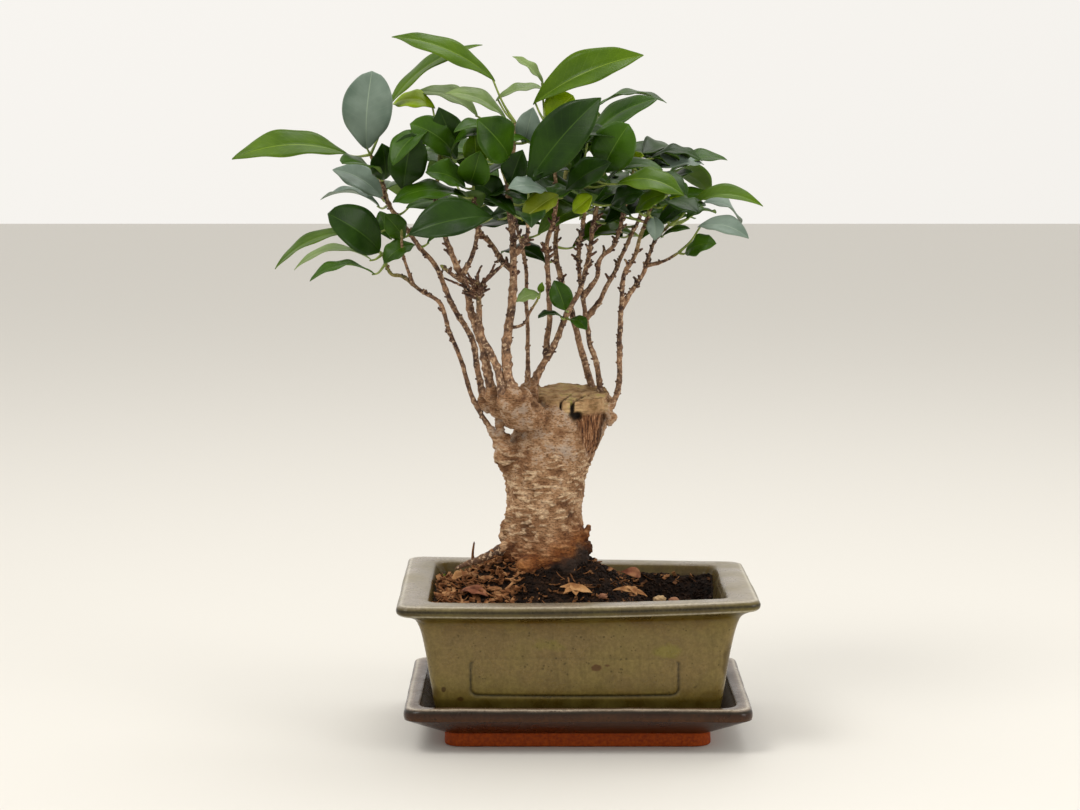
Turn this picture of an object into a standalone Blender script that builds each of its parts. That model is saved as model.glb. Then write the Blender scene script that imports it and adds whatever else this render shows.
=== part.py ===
"""A small fig bonsai: a thick cut trunk with many thin stems, in a glazed rectangular pot on its drip tray.

Lengths in the tables are millimetres; MM turns them to metres when a mesh is made.
+Z is up, the long side of the pot runs along X, and the front of the tree looks along -Y.
The origin is the middle of the tray's foot, on the surface that it stands on.
"""

import math

import bmesh
import bpy
from mathutils import Vector

MM = 0.001
GAP = 0.3

# Rounded rectangles of the tray and the pot: half length, half depth, height.
TRAY_CORNER = 9.0
TRAY_SECTIONS = (
    (73.0, 51.0, 0.0),
    (74.5, 52.5, 1.2),
    (74.5, 52.5, 8.0),
    (94.0, 72.0, 18.0),
    (96.0, 74.0, 20.0),
    (96.0, 74.0, 24.0),
    (94.5, 72.5, 25.5),
    (88.0, 66.0, 25.5),
    (86.5, 64.5, 24.0),
    (73.5, 51.5, 12.5),
    (71.0, 49.0, 11.5),
)

POT_CORNER = 7.0
POT_SECTIONS = (
    (75.0, 50.5, 15.5),
    (78.5, 54.0, 17.5),
    (80.5, 56.0, 26.0),
    (84.0, 59.5, 50.0),
    (86.5, 62.0, 64.0),
    (89.5, 65.0, 73.0),
    (94.0, 69.5, 77.5),
    (98.5, 73.5, 79.0),
    (100.0, 75.0, 81.5),
    (99.0, 74.0, 84.0),
    (96.5, 71.5, 85.0),
    (84.0, 59.0, 85.0),
    (82.0, 57.0, 83.5),
    (80.5, 55.5, 78.0),
    (76.5, 52.0, 50.0),
    (73.0, 48.5, 24.0),
    (70.0, 45.5, 21.5),
)
FOOT_SIZE = (22.0, 12.0, 5.0)
FOOT_PLACE = (56.0, 38.0)
FOOT_BOTTOM = 11.8
DRAIN_RADIUS = 6.0
DRAIN_OFFSET = 34.0
DRAIN_SIDES = 16
DRAIN_CUT = 20.0

# Soil: half length, half depth and height of its sides in the pot, then its mound.
SOIL_SIDES = (
    (68.5, 44.0, 21.8),
    (72.0, 47.5, 25.0),
    (75.8, 51.3, 50.0),
    (79.8, 54.8, 78.0),
)
SOIL_SQUARENESS = 10.0
SOIL_RISE = 18.5
SOIL_CURVE = 1.6
SOIL_LUMP = 1.5
LUMP_LENGTH = 8.5
SOIL_STEPS = 6
SOCKET_FLOOR = 79.7

# Trunk sections: height, centre x, centre y, half width, half depth.
TRUNK_SECTIONS = (
    (80.0, -16.5, 0.0, 22.0, 20.0),
    (88.0, -17.0, 0.0, 23.5, 21.5),
    (97.0, -17.0, 0.0, 24.0, 22.0),
    (108.0, -17.0, 0.0, 23.0, 21.0),
    (119.0, -18.5, 0.0, 22.3, 20.5),
    (131.0, -18.0, 0.0, 21.8, 20.5),
    (142.0, -18.0, 0.5, 23.2, 21.5),
    (153.0, -18.5, 1.0, 27.0, 24.0),
    (162.0, -17.5, 1.5, 29.0, 26.0),
    (171.0, -15.0, 2.0, 30.0, 27.5),
    (179.0, -15.0, 2.5, 34.0, 29.0),
    (186.0, -15.5, 3.0, 36.0, 30.0),
    (191.0, -15.0, 3.0, 35.0, 29.0),
)
TRUNK_SIDES = 32
RIM_INSET = 2.5
RIBS = 3.0
RIB_HEIGHT = 0.025
RIB_TWIST = 0.04
TRUNK_TOP = 193.0
TRUNK_TILT = 0.10

STEM_SIDES = 1

# Stems: radius at the foot, radius at the end, parent stem or None, then the route's points.
STEMS = {
    "stem_far_left": (1.5, 0.9, None, (
        (-47, -10, 170), (-51, -11, 177), (-59, -12, 191), (-65, -13, 211), (-72, -14, 229),
        (-77, -14, 245), (-88, -13, 252), (-98, -14, 260), (-105, -16, 262), (-109, -18, 273),
    )),
    "stem_left": (1.9, 1.1, None, (
        (-53, 6, 186), (-55, 8, 197), (-57, 9, 207), (-59, 10, 220), (-64, 9, 231), (-69, 6, 239),
        (-74, 3, 250), (-80, 0, 265), (-88, -3, 275), (-96, -5, 286), (-106, -6, 300),
        (-110, -7, 313), (-116, -8, 328),
    )),
    "stem_front_left": (2.8, 1.0, None, (
        (-47, -19, 193), (-50, -19, 203), (-53, -20, 221), (-57, -21, 232), (-60, -23, 243),
        (-62, -24, 254), (-66, -27, 264), (-71, -29, 276), (-75, -30, 287), (-79, -28, 303),
        (-77, -24, 321), (-76, -20, 336),
    )),
    "stem_front_inner": (2.4, 1.4, None, (
        (-41.5, -30, 190), (-44, -29, 207), (-49, -28, 219), (-54, -27, 229), (-55, -29, 244),
        (-56, -31, 258),
    )),
    "stem_front": (2.7, 0.9, None, (
        (-36, -28, 194), (-39, -28, 206), (-40, -29, 221), (-38, -29, 236), (-36, -27, 255),
        (-36, -25, 268), (-36, -24, 283), (-38, -24, 296), (-39, -24, 312), (-36, -20, 330),
        (-35, -14, 346),
    )),
    "stem_thin": (1.3, 0.9, None, (
        (-28, 12, 196), (-28, 13, 212), (-28, 14, 226), (-29, 15, 243), (-29, 18, 262),
        (-33, 28, 280), (-38, 40, 300), (-44, 50, 322),
    )),
    "stem_slanting": (2.1, 1.0, None, (
        (-26, -4, 196), (-20, -6, 209), (-15, -7, 217), (-10, -6, 228), (-5, -4, 240),
        (1, -5, 251), (6, -3, 268), (9, 2, 288), (13, 6, 308), (16, 8, 326),
    )),
    "stem_centre": (1.9, 0.9, "stem_slanting", (
        (-19, -6, 211), (-17, -1, 223), (-15.5, 0, 235), (-16, -1, 250), (-17, -4, 266),
        (-17, -8, 280), (-13, -12, 293), (-12, -16, 308), (-14, -18, 328), (-18, -12, 346),
    )),
    "stem_back": (2.4, 1.0, None, (
        (8, 20, 197.5), (5, 22, 207), (1, 24, 221), (-3, 27, 238), (-9, 32, 255), (-12, 38, 272),
        (-11, 46, 288), (-8, 56, 305), (-4, 60, 326),
    )),
    "stem_right_inner": (1.8, 0.9, None, (
        (13, 6, 196), (11, 8, 209), (7, 9, 222), (5, 9, 236), (3, 8, 248), (1, 6, 262),
        (1, 2, 275), (3, -6, 288), (4, -16, 302), (2, -22, 320),
    )),
    "stem_right": (1.8, 1.0, None, (
        (23.5, -2, 190), (24, -2, 198), (24, -3, 211), (24, -4, 227), (25, -5, 246), (26, -6, 260),
        (30, -9, 267), (33, -12, 275), (37, -16, 288), (41, -19, 300),
    )),
    "twig_far_left": (1.0, 0.7, "stem_far_left", (
        (-90, -13, 253), (-95, -17, 264), (-98, -20, 275), (-98, -23, 287),
    )),
    "twig_front_low": (1.5, 0.9, "stem_front_left", (
        (-62, -24, 255), (-69, -33, 262), (-76, -38, 268),
    )),
    "twig_front_upright": (1.5, 0.8, "stem_front_left", (
        (-63, -25, 258), (-59, -29, 272), (-56, -33, 284), (-57, -34, 297), (-58, -31, 312),
    )),
    "twig_outer": (1.9, 0.9, "stem_front", (
        (-36, -25, 262), (-42, -19, 269), (-48, -16, 278), (-55, -14, 286), (-60, -14, 301),
    )),
    "twig_inner": (1.3, 0.8, "stem_front", (
        (-36, -25, 270), (-30, -32, 279), (-28, -37, 286), (-28, -41, 298),
    )),
    "twig_back_right": (1.6, 0.9, "stem_right_inner", (
        (6, 8, 231), (12, 14, 243), (17, 18, 252), (23, 23, 263), (30, 32, 278), (38, 42, 294),
        (44, 48, 312),
    )),
    "twig_right_fork": (1.4, 0.8, "stem_right_inner", (
        (4, 8, 243), (11, 6, 258), (13, 4, 269), (20, 1, 276), (24, -1, 287), (27, 0, 299),
        (31, 2, 316), (32, 6, 330),
    )),
    "twig_right_outer": (1.5, 0.8, "stem_right", (
        (24.5, -4, 238), (31, 3, 251), (38, 6, 261), (41, 5, 271), (45, 4, 281), (52, 3, 288),
    )),
    "twig_right_low": (1.1, 0.7, "twig_right_outer", (
        (39, 6, 263), (49, -1, 268), (57, -6, 273),
    )),
    "twig_middle": (0.9, 0.6, "stem_front", (
        (-38.5, -29, 232), (-31, -38, 235), (-26, -40, 243), (-22, -42, 250),
    )),
}

# Leaves: foot of the blade, tip, width, the way the upper side looks, arch of the midrib.
LEAVES = {
    "leaf_far_left": ((-128, -8, 328), (-192, -22, 327), 24, (0, -6, 8), 8),
    "leaf_upright": ((-118, -12, 331), (-114, -22, 374), 28, (1, -9, 0), 4),
    "leaf_tall_left": ((-109, -2, 352), (-54, 4, 390), 24, (-5, -4, 7), 8),
    "leaf_top_left": ((-46, -9, 369), (-103, -15, 394), 24, (-3, -6, 8), 8),
    "leaf_top": ((-25, -8, 356), (37, -14, 385), 27, (-3, -8, 6), 7),
    "leaf_centre": ((-28, -47, 313), (11, -62, 360), 29, (-3, -9, 3), 4),
    "leaf_edge_top": ((9, 8, 353), (50, 4, 358), 20, (0, -1, 9), 7),
    "leaf_top_right": ((4, -20, 334), (43, -27, 360), 22, (-4, -5, 7), 5),
    "leaf_front_right": ((15, -30, 323), (25, -62, 345), 26, (0, -8, 6), 4),
    "leaf_right_back": ((40, 22, 323), (72, 44, 329), 24, (0, -5, 8), 5),
    "leaf_right_low": ((21, -42, 313), (57, -58, 308), 23, (1, -6, 7), 6),
    "leaf_right": ((60, 2, 296), (104, -7, 302), 22, (0, -4, 8), 9),
    "leaf_right_behind": ((72, 20, 300), (95, 32, 286), 18, (2, -3, 8), 6),
    "leaf_right_tip": ((67, -14, 288), (95, -24, 283), 22, (1, -5, 8), 4),
    "leaf_right_small": ((60, -14, 273), (76, -27, 280), 16, (-1, -7, 7), 3),
    "leaf_front_left": ((-47, -47, 295), (-92, -62, 287), 26, (0, -7, 6), 6),
    "leaf_left_upright": ((-97, -26, 309), (-91, -37, 340), 22, (2, -9, 1), 3),
    "leaf_left_upper": ((-111, -14, 315), (-129, -40, 325), 20, (-2, -6, 7), 4),
    "leaf_left_grey": ((-109, 4, 302), (-138, 6, 320), 20, (-3, -4, 7), 5),
    "leaf_left_dark": ((-110, -26, 275), (-136, -49, 297), 26, (-1, -8, 5), 5),
    "leaf_left_long": ((-118, -6, 277), (-170, -14, 265), 24, (0, -3, 9), 12),
    "leaf_left_low": ((-114, -27, 270), (-157, -36, 267), 20, (0, -3, 9), 9),
    "leaf_left_lowest": ((-109, -38, 263), (-147, -52, 262), 20, (0, -3, 9), 7),
    "leaf_inner_left": ((-67, -20, 326), (-92, -30, 346), 22, (-2, -6, 6), 4),
    "leaf_inner_front": ((-38, -36, 327), (-54, -62, 348), 25, (-1, -8, 4), 4),
    "leaf_level": ((-62, -40, 306), (-102, -43, 304), 23, (0, -4, 9), 5),
    "leaf_pale": ((-56, 6, 349), (-91, 10, 364), 20, (-2, -3, 9), 4),
    "leaf_mid_shoot": ((-7, -14, 241), (-13, -20, 258), 13, (0, -9, 3), 2),
    "leaf_back_high": ((-10, 66, 330), (14, 88, 350), 25, (-2, 5, 8), 6),
    "leaf_back_left": ((-52, 58, 322), (-88, 80, 316), 25, (-1, 4, 9), 8),
    "leaf_back_right": ((48, 54, 312), (80, 78, 304), 24, (2, 4, 9), 8),
    "leaf_back_low": ((-20, 58, 303), (-34, 94, 292), 25, (0, 7, 7), 7),
}
LEAF_ROWS = 8
PETIOLE_ROWS = 2
PETIOLE_WIDTH = 1.4
LEAF_THICKNESS = 0.8
LEAF_FOLD = 0.22
LEAF_LEAN = 0.9
LEAF_FULLNESS = 0.8
LEAF_TIP_WIDTH = 1.0

# The root that leaves the trunk's foot on the left: its route and its radius at each point.
ROOT_ROUTE = ((-43.5, -10, 104), (-49, -13, 102), (-56, -16, 99.5), (-63, -18, 97.5))
ROOT_RADII = (3.0, 2.4, 1.9, 1.3)


def material(name, colour, roughness):
    """A Principled material with one base colour (linear RGB) and one roughness."""
    made = bpy.data.materials.new(name)
    made.use_nodes = True
    shader = made.node_tree.nodes["Principled BSDF"]
    shader.inputs["Base Color"].default_value = (*colour, 1.0)
    shader.inputs["Roughness"].default_value = roughness
    return made


def add_mesh(name, bm, finish, collection, smooth=True):
    """Turn a bmesh in millimetres into a named object in metres."""
    bmesh.ops.scale(bm, vec=(MM, MM, MM), verts=bm.verts)
    bmesh.ops.recalc_face_normals(bm, faces=bm.faces)
    mesh = bpy.data.meshes.new(name)
    bm.to_mesh(mesh)
    bm.free()
    if smooth:
        mesh.shade_smooth()
    mesh.materials.append(finish)
    made = bpy.data.objects.new(name, mesh)
    collection.objects.link(made)
    return made


def rounded_ring(half_x, half_y, corner, height, steps=4):
    """Points round a rounded rectangle, one quarter circle for each corner."""
    points = []
    for turn in range(4):
        middle_x = (half_x - corner) * (1 if turn in (0, 3) else -1)
        middle_y = (half_y - corner) * (1 if turn in (0, 1) else -1)
        for step in range(steps + 1):
            angle = math.radians(90.0 * (turn + step / steps))
            x = middle_x + corner * math.cos(angle)
            y = middle_y + corner * math.sin(angle)
            points.append(Vector((x, y, height)))
    return points


def loft(rings):
    """A closed body through rings of equal point count, capped at both ends."""
    bm = bmesh.new()
    rows = [[bm.verts.new(point) for point in ring] for ring in rings]
    count = len(rows[0])
    for lower, upper in zip(rows, rows[1:]):
        for i in range(count):
            j = (i + 1) % count
            bm.faces.new((lower[i], lower[j], upper[j], upper[i]))
    bm.faces.new(list(reversed(rows[0])))
    bm.faces.new(rows[-1])
    return bm


def trunk_radius(section, angle):
    """Distance from the trunk's middle to its bark at an angle, on one section."""
    half_width, half_depth = section[3:5]
    ellipse = 1.0 / math.hypot(math.cos(angle) / half_width, math.sin(angle) / half_depth)
    swell = RIB_HEIGHT * math.cos(RIBS * angle + RIB_TWIST * section[0])
    return ellipse * (1.0 + swell)


def around():
    """The angles at which the trunk and the soil have their points."""
    return [math.tau * i / TRUNK_SIDES for i in range(TRUNK_SIDES)]


def trunk_ring(section, clearance=0.0, height=None):
    """Points of one trunk section, pushed out by a clearance."""
    if height is None:
        height = section[0]
    ring = []
    for angle in around():
        radius = trunk_radius(section, angle) + clearance
        x = section[1] + radius * math.cos(angle)
        y = section[2] + radius * math.sin(angle)
        ring.append(Vector((x, y, height)))
    return ring


def soil_ring(half_x, half_y, height):
    """A rounded rectangle whose points stand at the trunk's angles."""
    ring = []
    for angle in around():
        across = abs(math.cos(angle) / half_x) ** SOIL_SQUARENESS
        deep = abs(math.sin(angle) / half_y) ** SOIL_SQUARENESS
        radius = (across + deep) ** (-1.0 / SOIL_SQUARENESS)
        ring.append(Vector((radius * math.cos(angle), radius * math.sin(angle), height)))
    return ring


def tilted_height(point, section):
    """Height of the cut top, which leans down towards the front."""
    return TRUNK_TOP + (point.y - section[2]) * TRUNK_TILT


def make_tray(finish, collection):
    rings = [rounded_ring(x, y, TRAY_CORNER, z) for x, y, z in TRAY_SECTIONS]
    return add_mesh("drip_tray", loft(rings), finish, collection, smooth=False)


def make_pot(finish, collection, cutters):
    """The pot's shell, with its feet joined on and its drain holes cut."""
    rings = [rounded_ring(x, y, POT_CORNER, z) for x, y, z in POT_SECTIONS]
    pot = add_mesh("pot", loft(rings), finish, collection, smooth=False)
    for side_x in (-1, 1):
        for side_y in (-1, 1):
            feet = bmesh.new()
            bmesh.ops.create_cube(feet, size=1.0)
            bmesh.ops.scale(feet, vec=FOOT_SIZE, verts=feet.verts)
            middle = (side_x * FOOT_PLACE[0], side_y * FOOT_PLACE[1], FOOT_BOTTOM + FOOT_SIZE[2] / 2)
            bmesh.ops.translate(feet, vec=middle, verts=feet.verts)
            foot = add_mesh(f"foot_{side_x}_{side_y}", feet, finish, cutters, smooth=False)
            add_boolean(pot, foot, "UNION")
        hole = bmesh.new()
        bmesh.ops.create_cone(
            hole, cap_ends=True, segments=DRAIN_SIDES, radius1=DRAIN_RADIUS, radius2=DRAIN_RADIUS, depth=DRAIN_CUT
        )
        bmesh.ops.translate(hole, vec=(side_x * DRAIN_OFFSET, 0.0, POT_SECTIONS[0][2]), verts=hole.verts)
        drain = add_mesh(f"drain_{side_x}", hole, finish, cutters, smooth=False)
        add_boolean(pot, drain, "DIFFERENCE")
    return pot


def add_boolean(target, cutter, operation):
    cutter.hide_render = True
    cutter.display_type = "WIRE"
    cut = target.modifiers.new(cutter.name, "BOOLEAN")
    cut.operation = operation
    cut.object = cutter


def make_soil(finish, collection):
    """Soil that fills the pot and rises to the trunk, with a socket for the trunk's buried foot."""
    rings = [soil_ring(*row) for row in SOIL_SIDES]
    edge = rings[-1]
    edge_height = SOIL_SIDES[-1][2]
    inner = trunk_ring(TRUNK_SECTIONS[2], GAP)
    for step in range(1, SOIL_STEPS + 1):
        share = step / SOIL_STEPS
        ring = []
        for outside, inside in zip(edge, inner):
            point = outside.lerp(inside, share)
            lump = SOIL_LUMP * math.sin(point.x / LUMP_LENGTH) * math.cos(point.y / LUMP_LENGTH) * (1.0 - share)
            point.z = edge_height + SOIL_RISE * share**SOIL_CURVE + lump
            ring.append(point)
        rings.append(ring)
    rings.append(trunk_ring(TRUNK_SECTIONS[1], GAP))
    rings.append(trunk_ring(TRUNK_SECTIONS[0], GAP, SOCKET_FLOOR))
    return add_mesh("soil", loft(rings), finish, collection)


def make_trunk(finish, collection):
    """The trunk, from its buried foot to its cut top."""
    rings = [trunk_ring(section) for section in TRUNK_SECTIONS]
    last = TRUNK_SECTIONS[-1]
    rim = trunk_ring((last[0], last[1], last[2], last[3] - RIM_INSET, last[4] - RIM_INSET))
    for point in rim:
        point.z = tilted_height(point, last)
    rings.append(rim)
    return add_mesh("trunk", loft(rings), finish, collection)


def make_tube(name, points, radii, finish, collection):
    """A tapered stem with filled ends."""
    curve = bpy.data.curves.new(name, "CURVE")
    curve.dimensions = "3D"
    curve.bevel_depth = MM
    curve.bevel_resolution = STEM_SIDES
    curve.use_fill_caps = True
    curve.resolution_u = 1
    spline = curve.splines.new("POLY")
    spline.points.add(len(points) - 1)
    for item, point, radius in zip(spline.points, points, radii):
        item.co = (*(point * MM), 1.0)
        item.radius = radius
    curve.materials.append(finish)
    made = bpy.data.objects.new(name, curve)
    collection.objects.link(made)
    return made


def nearest_on(route, target):
    """The nearest point of a route to a target: point, radius there, axis direction."""
    points, radii = route
    best = None
    for i in range(len(points) - 1):
        run = points[i + 1] - points[i]
        share = max(0.0, min(1.0, (target - points[i]).dot(run) / run.length_squared))
        point = points[i] + run * share
        radius = radii[i] + (radii[i + 1] - radii[i]) * share
        away = (target - point).length - radius
        if best is None or away < best[0]:
            best = (away, point, radius, run.normalized())
    return best


def off_the_bark(route, target, radius):
    """Where a branch of this radius leaves a stem on its way to a target, clear of the stem."""
    found = nearest_on(route, target)
    middle, parent_radius, axis = found[1:]
    way = (target - middle).normalized()
    across = max(0.45, axis.cross(way).length)
    along = abs(axis.dot(way))
    return middle + way * ((parent_radius + GAP + radius * along) / across)


def make_stems(finish, collection):
    """All stems and twigs; returns each one's points and radii."""
    routes = {}
    for name, (foot_radius, end_radius, parent, table) in STEMS.items():
        points = [Vector(row) for row in table]
        if parent:
            points[0] = off_the_bark(routes[parent], points[1], foot_radius)
        last = len(points) - 1
        radii = [foot_radius + (end_radius - foot_radius) * i / last for i in range(last + 1)]
        routes[name] = (points, radii)
        make_tube(name, points, radii, finish, collection)
    return routes


def leaf_width(share, width):
    """Width of the blade at a share of its length: widest past the middle, drawn out to the tip."""
    return max(LEAF_TIP_WIDTH, width * math.sin(math.pi * share**LEAF_LEAN) ** LEAF_FULLNESS)


def make_leaf(name, row, routes, finish, collection):
    """A folded, arched blade on its stalk, which ends clear of the nearest stem."""
    foot, tip, width, face, arch = row
    foot = Vector(foot)
    tip = Vector(tip)
    nearest = min(routes.values(), key=lambda route: nearest_on(route, foot)[0])
    start = off_the_bark(nearest, foot, PETIOLE_WIDTH)
    run = tip - foot
    face = Vector(face).normalized()
    side = run.cross(face).normalized()
    normal = side.cross(run).normalized()
    rows = []
    for i in range(PETIOLE_ROWS):
        rows.append((start.lerp(foot, i / PETIOLE_ROWS), PETIOLE_WIDTH))
    for i in range(LEAF_ROWS + 1):
        share = i / LEAF_ROWS
        rise = normal * (arch * 4.0 * share * (1.0 - share))
        rows.append((foot + run * share + rise, leaf_width(share, width)))
    bm = bmesh.new()
    grid = []
    for middle, breadth in rows:
        fold = normal * (breadth * 0.5 * LEAF_FOLD)
        half = side * (breadth * 0.5)
        grid.append([bm.verts.new(middle - half + fold), bm.verts.new(middle), bm.verts.new(middle + half + fold)])
    for lower, upper in zip(grid, grid[1:]):
        for i in range(2):
            bm.faces.new((lower[i], lower[i + 1], upper[i + 1], upper[i]))
    leaf = add_mesh(name, bm, finish, collection)
    solid = leaf.modifiers.new("thickness", "SOLIDIFY")
    solid.thickness = LEAF_THICKNESS * MM
    solid.offset = 0.0
    return leaf


def make_surface_root(finish, collection):
    """The root that leaves the trunk's foot on the left and runs down onto the soil."""
    return make_tube("surface_root", [Vector(p) for p in ROOT_ROUTE], ROOT_RADII, finish, collection)


def main():
    for item in list(bpy.data.objects):
        bpy.data.objects.remove(item, do_unlink=True)
    bonsai = bpy.data.collections.new("bonsai_tree")
    cutters = bpy.data.collections.new("cutters")
    bpy.context.scene.collection.children.link(bonsai)
    bpy.context.scene.collection.children.link(cutters)

    terracotta = material("glazed_terracotta", (0.10, 0.06, 0.035), 0.35)
    glaze = material("olive_glaze", (0.26, 0.24, 0.12), 0.3)
    earth = material("potting_soil", (0.03, 0.02, 0.012), 0.95)
    bark = material("trunk_bark", (0.30, 0.19, 0.11), 0.85)
    twig_bark = material("stem_bark", (0.22, 0.12, 0.07), 0.8)
    leaf_green = material("leaf_green", (0.07, 0.17, 0.03), 0.35)

    make_tray(terracotta, bonsai)
    make_pot(glaze, bonsai, cutters)
    make_soil(earth, bonsai)
    make_trunk(bark, bonsai)
    make_surface_root(twig_bark, bonsai)
    routes = make_stems(twig_bark, bonsai)
    for name, row in LEAVES.items():
        make_leaf(name, row, routes, leaf_green, bonsai)


main()
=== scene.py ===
import math
import random

import bmesh
import bpy
import numpy as np
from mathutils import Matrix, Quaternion, Vector, noise


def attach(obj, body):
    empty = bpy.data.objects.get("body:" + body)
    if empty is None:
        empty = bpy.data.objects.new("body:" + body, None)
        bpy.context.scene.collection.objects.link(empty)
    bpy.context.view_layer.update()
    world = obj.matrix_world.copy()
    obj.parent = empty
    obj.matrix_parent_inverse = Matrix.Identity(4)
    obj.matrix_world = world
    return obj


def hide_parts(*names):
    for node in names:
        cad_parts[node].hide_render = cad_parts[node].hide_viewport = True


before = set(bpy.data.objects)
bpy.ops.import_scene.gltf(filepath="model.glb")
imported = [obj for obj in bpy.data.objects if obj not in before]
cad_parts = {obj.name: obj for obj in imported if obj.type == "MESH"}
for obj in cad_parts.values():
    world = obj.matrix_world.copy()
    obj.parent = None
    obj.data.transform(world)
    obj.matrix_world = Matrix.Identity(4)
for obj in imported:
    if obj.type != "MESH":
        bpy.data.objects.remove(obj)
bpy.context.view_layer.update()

# Lengths in the tables are millimetres; MM turns them to metres where a mesh is made.
MM = 0.001
UP = Vector((0.0, 0.0, 1.0))


# ---------------------------------------------------------------- camera, light and floor

CAMERA_PLACE = (-0.0211, -1.565, 0.3643)
CAMERA_DOWN_DEG = 6.5
CAMERA_LENS = 92.34


def place_camera():
    lens = bpy.data.cameras.new("camera")
    lens.lens = CAMERA_LENS
    lens.sensor_width = 36.0
    camera = bpy.data.objects.new("camera", lens)
    camera.location = CAMERA_PLACE
    camera.rotation_euler = (math.radians(90.0 - CAMERA_DOWN_DEG), 0.0, 0.0)
    bpy.context.scene.collection.objects.link(camera)
    bpy.context.scene.camera = camera


def softbox(name, place, size, watts, colour):
    """A square area light that looks at the middle of the tree."""
    light = bpy.data.lights.new(name, "AREA")
    light.size = size
    light.energy = watts
    light.color = colour
    lamp = bpy.data.objects.new(name, light)
    lamp.location = place
    aim = Vector((0.0, 0.0, 0.2)) - Vector(place)
    lamp.rotation_euler = aim.to_track_quat("-Z", "Y").to_euler()
    bpy.context.scene.collection.objects.link(lamp)


def linear(hex_colour):
    """An sRGB hex colour as linear RGBA."""
    channels = []
    for start in (1, 3, 5):
        value = int(hex_colour[start:start + 2], 16) / 255.0
        channels.append(value / 12.92 if value <= 0.04045 else ((value + 0.055) / 1.055) ** 2.4)
    return (*channels, 1.0)


def feed(tree, node, feeds):
    """Give a node its inputs: plain values, sockets, or nodes, whose first output in use is linked."""
    for key, value in feeds.items():
        if isinstance(value, bpy.types.Node):
            value = next(socket for socket in value.outputs if socket.enabled)
        if isinstance(value, bpy.types.NodeSocket):
            tree.links.new(value, node.inputs[key])
        else:
            node.inputs[key].default_value = value


def add(tree, kind, feeds=None, stops=None, **settings):
    """Add one node with its settings and inputs; stops are a colour ramp's places and colours."""
    made = tree.nodes.new(kind)
    for key, value in settings.items():
        setattr(made, key, value)
    feed(tree, made, feeds or {})
    if stops:
        ramp = made.color_ramp
        ramp.elements[0].position = stops[0][0]
        ramp.elements[1].position = stops[-1][0]
        for position, _ in stops[1:-1]:
            ramp.elements.new(position)
        for element, (_, colour) in zip(ramp.elements, stops):
            element.color = linear(colour)
    return made


def new_material(name):
    made = bpy.data.materials.new(name)
    made.use_nodes = True
    tree = made.node_tree
    return made, tree, tree.nodes["Principled BSDF"]


# Name, place, size, watts and colour of each soft light.
SOFTBOXES = (
    ("key", (-0.9, -0.8, 1.8), 0.8, 16.0, (1.0, 0.98, 0.95)),
    ("top", (0.3, 0.6, 1.9), 0.9, 9.0, (1.0, 1.0, 1.0)),
    ("fill", (1.3, -0.9, 0.7), 0.8, 9.0, (1.0, 0.98, 0.95)),
)
SURROUND_TILT = (-0.05, 0.16, 0.12)
SURROUND_LEVEL = 0.80
SURROUND_COLOUR = "#fbf8f3"
FLOOR_COLOUR = "#dad7d0"
FLOOR_HALF = 6.0


def set_stage():
    """A plain pale floor, a pale surround and soft studio lights."""
    world = bpy.data.worlds.new("studio")
    world.use_nodes = True
    sky = world.node_tree
    # a bright studio: white behind and above, dimmer towards the front
    where = add(sky, "ShaderNodeTexCoord")
    lit = add(sky, "ShaderNodeVectorMath", {0: where.outputs["Generated"], 1: SURROUND_TILT},
              operation="DOT_PRODUCT")
    level = add(sky, "ShaderNodeMath", {0: lit, 1: SURROUND_LEVEL}, operation="ADD")
    feed(sky, sky.nodes["Background"], {"Color": linear(SURROUND_COLOUR), "Strength": level})
    bpy.context.scene.world = world
    bpy.context.scene.view_settings.view_transform = "Standard"
    for row in SOFTBOXES:
        softbox(*row)
    bm = bmesh.new()
    bmesh.ops.create_grid(bm, x_segments=1, y_segments=1, size=FLOOR_HALF)
    mesh = bpy.data.meshes.new("floor")
    bm.to_mesh(mesh)
    bm.free()
    paint, tree, shader = new_material("pale_floor")
    feed(tree, shader, {"Base Color": linear(FLOOR_COLOUR), "Roughness": 0.7})
    mesh.materials.append(paint)
    floor = bpy.data.objects.new("floor", mesh)
    bpy.context.scene.collection.objects.link(floor)


place_camera()
set_stage()


# ---------------------------------------------------------------- mesh helpers

def finish_piece(name, mesh, replaces=(), smooth=True):
    """Link a mesh whose points are already in metres, parent it to the root body, and hide the parts it
    replaces.
    """
    if smooth:
        mesh.shade_smooth()
    piece = bpy.data.objects.new(name, mesh)
    bpy.context.scene.collection.objects.link(piece)
    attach(piece, "root")
    if replaces:
        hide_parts(*replaces)
    return piece


def mesh_from(name, points, faces, materials, indices=None, uvs=None):
    """A mesh from points in millimetres; uvs are one pair for each point."""
    mesh = bpy.data.meshes.new(name)
    mesh.from_pydata((np.asarray(points, float) * MM).tolist(), [], faces)
    for item in materials:
        mesh.materials.append(item)
    if indices is not None:
        mesh.polygons.foreach_set("material_index", indices)
    if uvs is not None:
        layer = mesh.uv_layers.new(name="surface")
        corners = np.empty(len(mesh.loops), int)
        mesh.loops.foreach_get("vertex_index", corners)
        layer.data.foreach_set("uv", np.asarray(uvs, float)[corners].ravel())
    mesh.validate()
    mesh.update()
    return mesh


def store(mesh, name, values):
    """Keep one number for each point, for a material to read."""
    layer = mesh.attributes.new(name, "FLOAT", "POINT")
    layer.data.foreach_set("value", np.asarray(values, float))


def smooth_step(low, high, value):
    share = np.clip((np.asarray(value, float) - low) / (high - low), 0.0, 1.0)
    return share * share * (3.0 - 2.0 * share)


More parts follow.
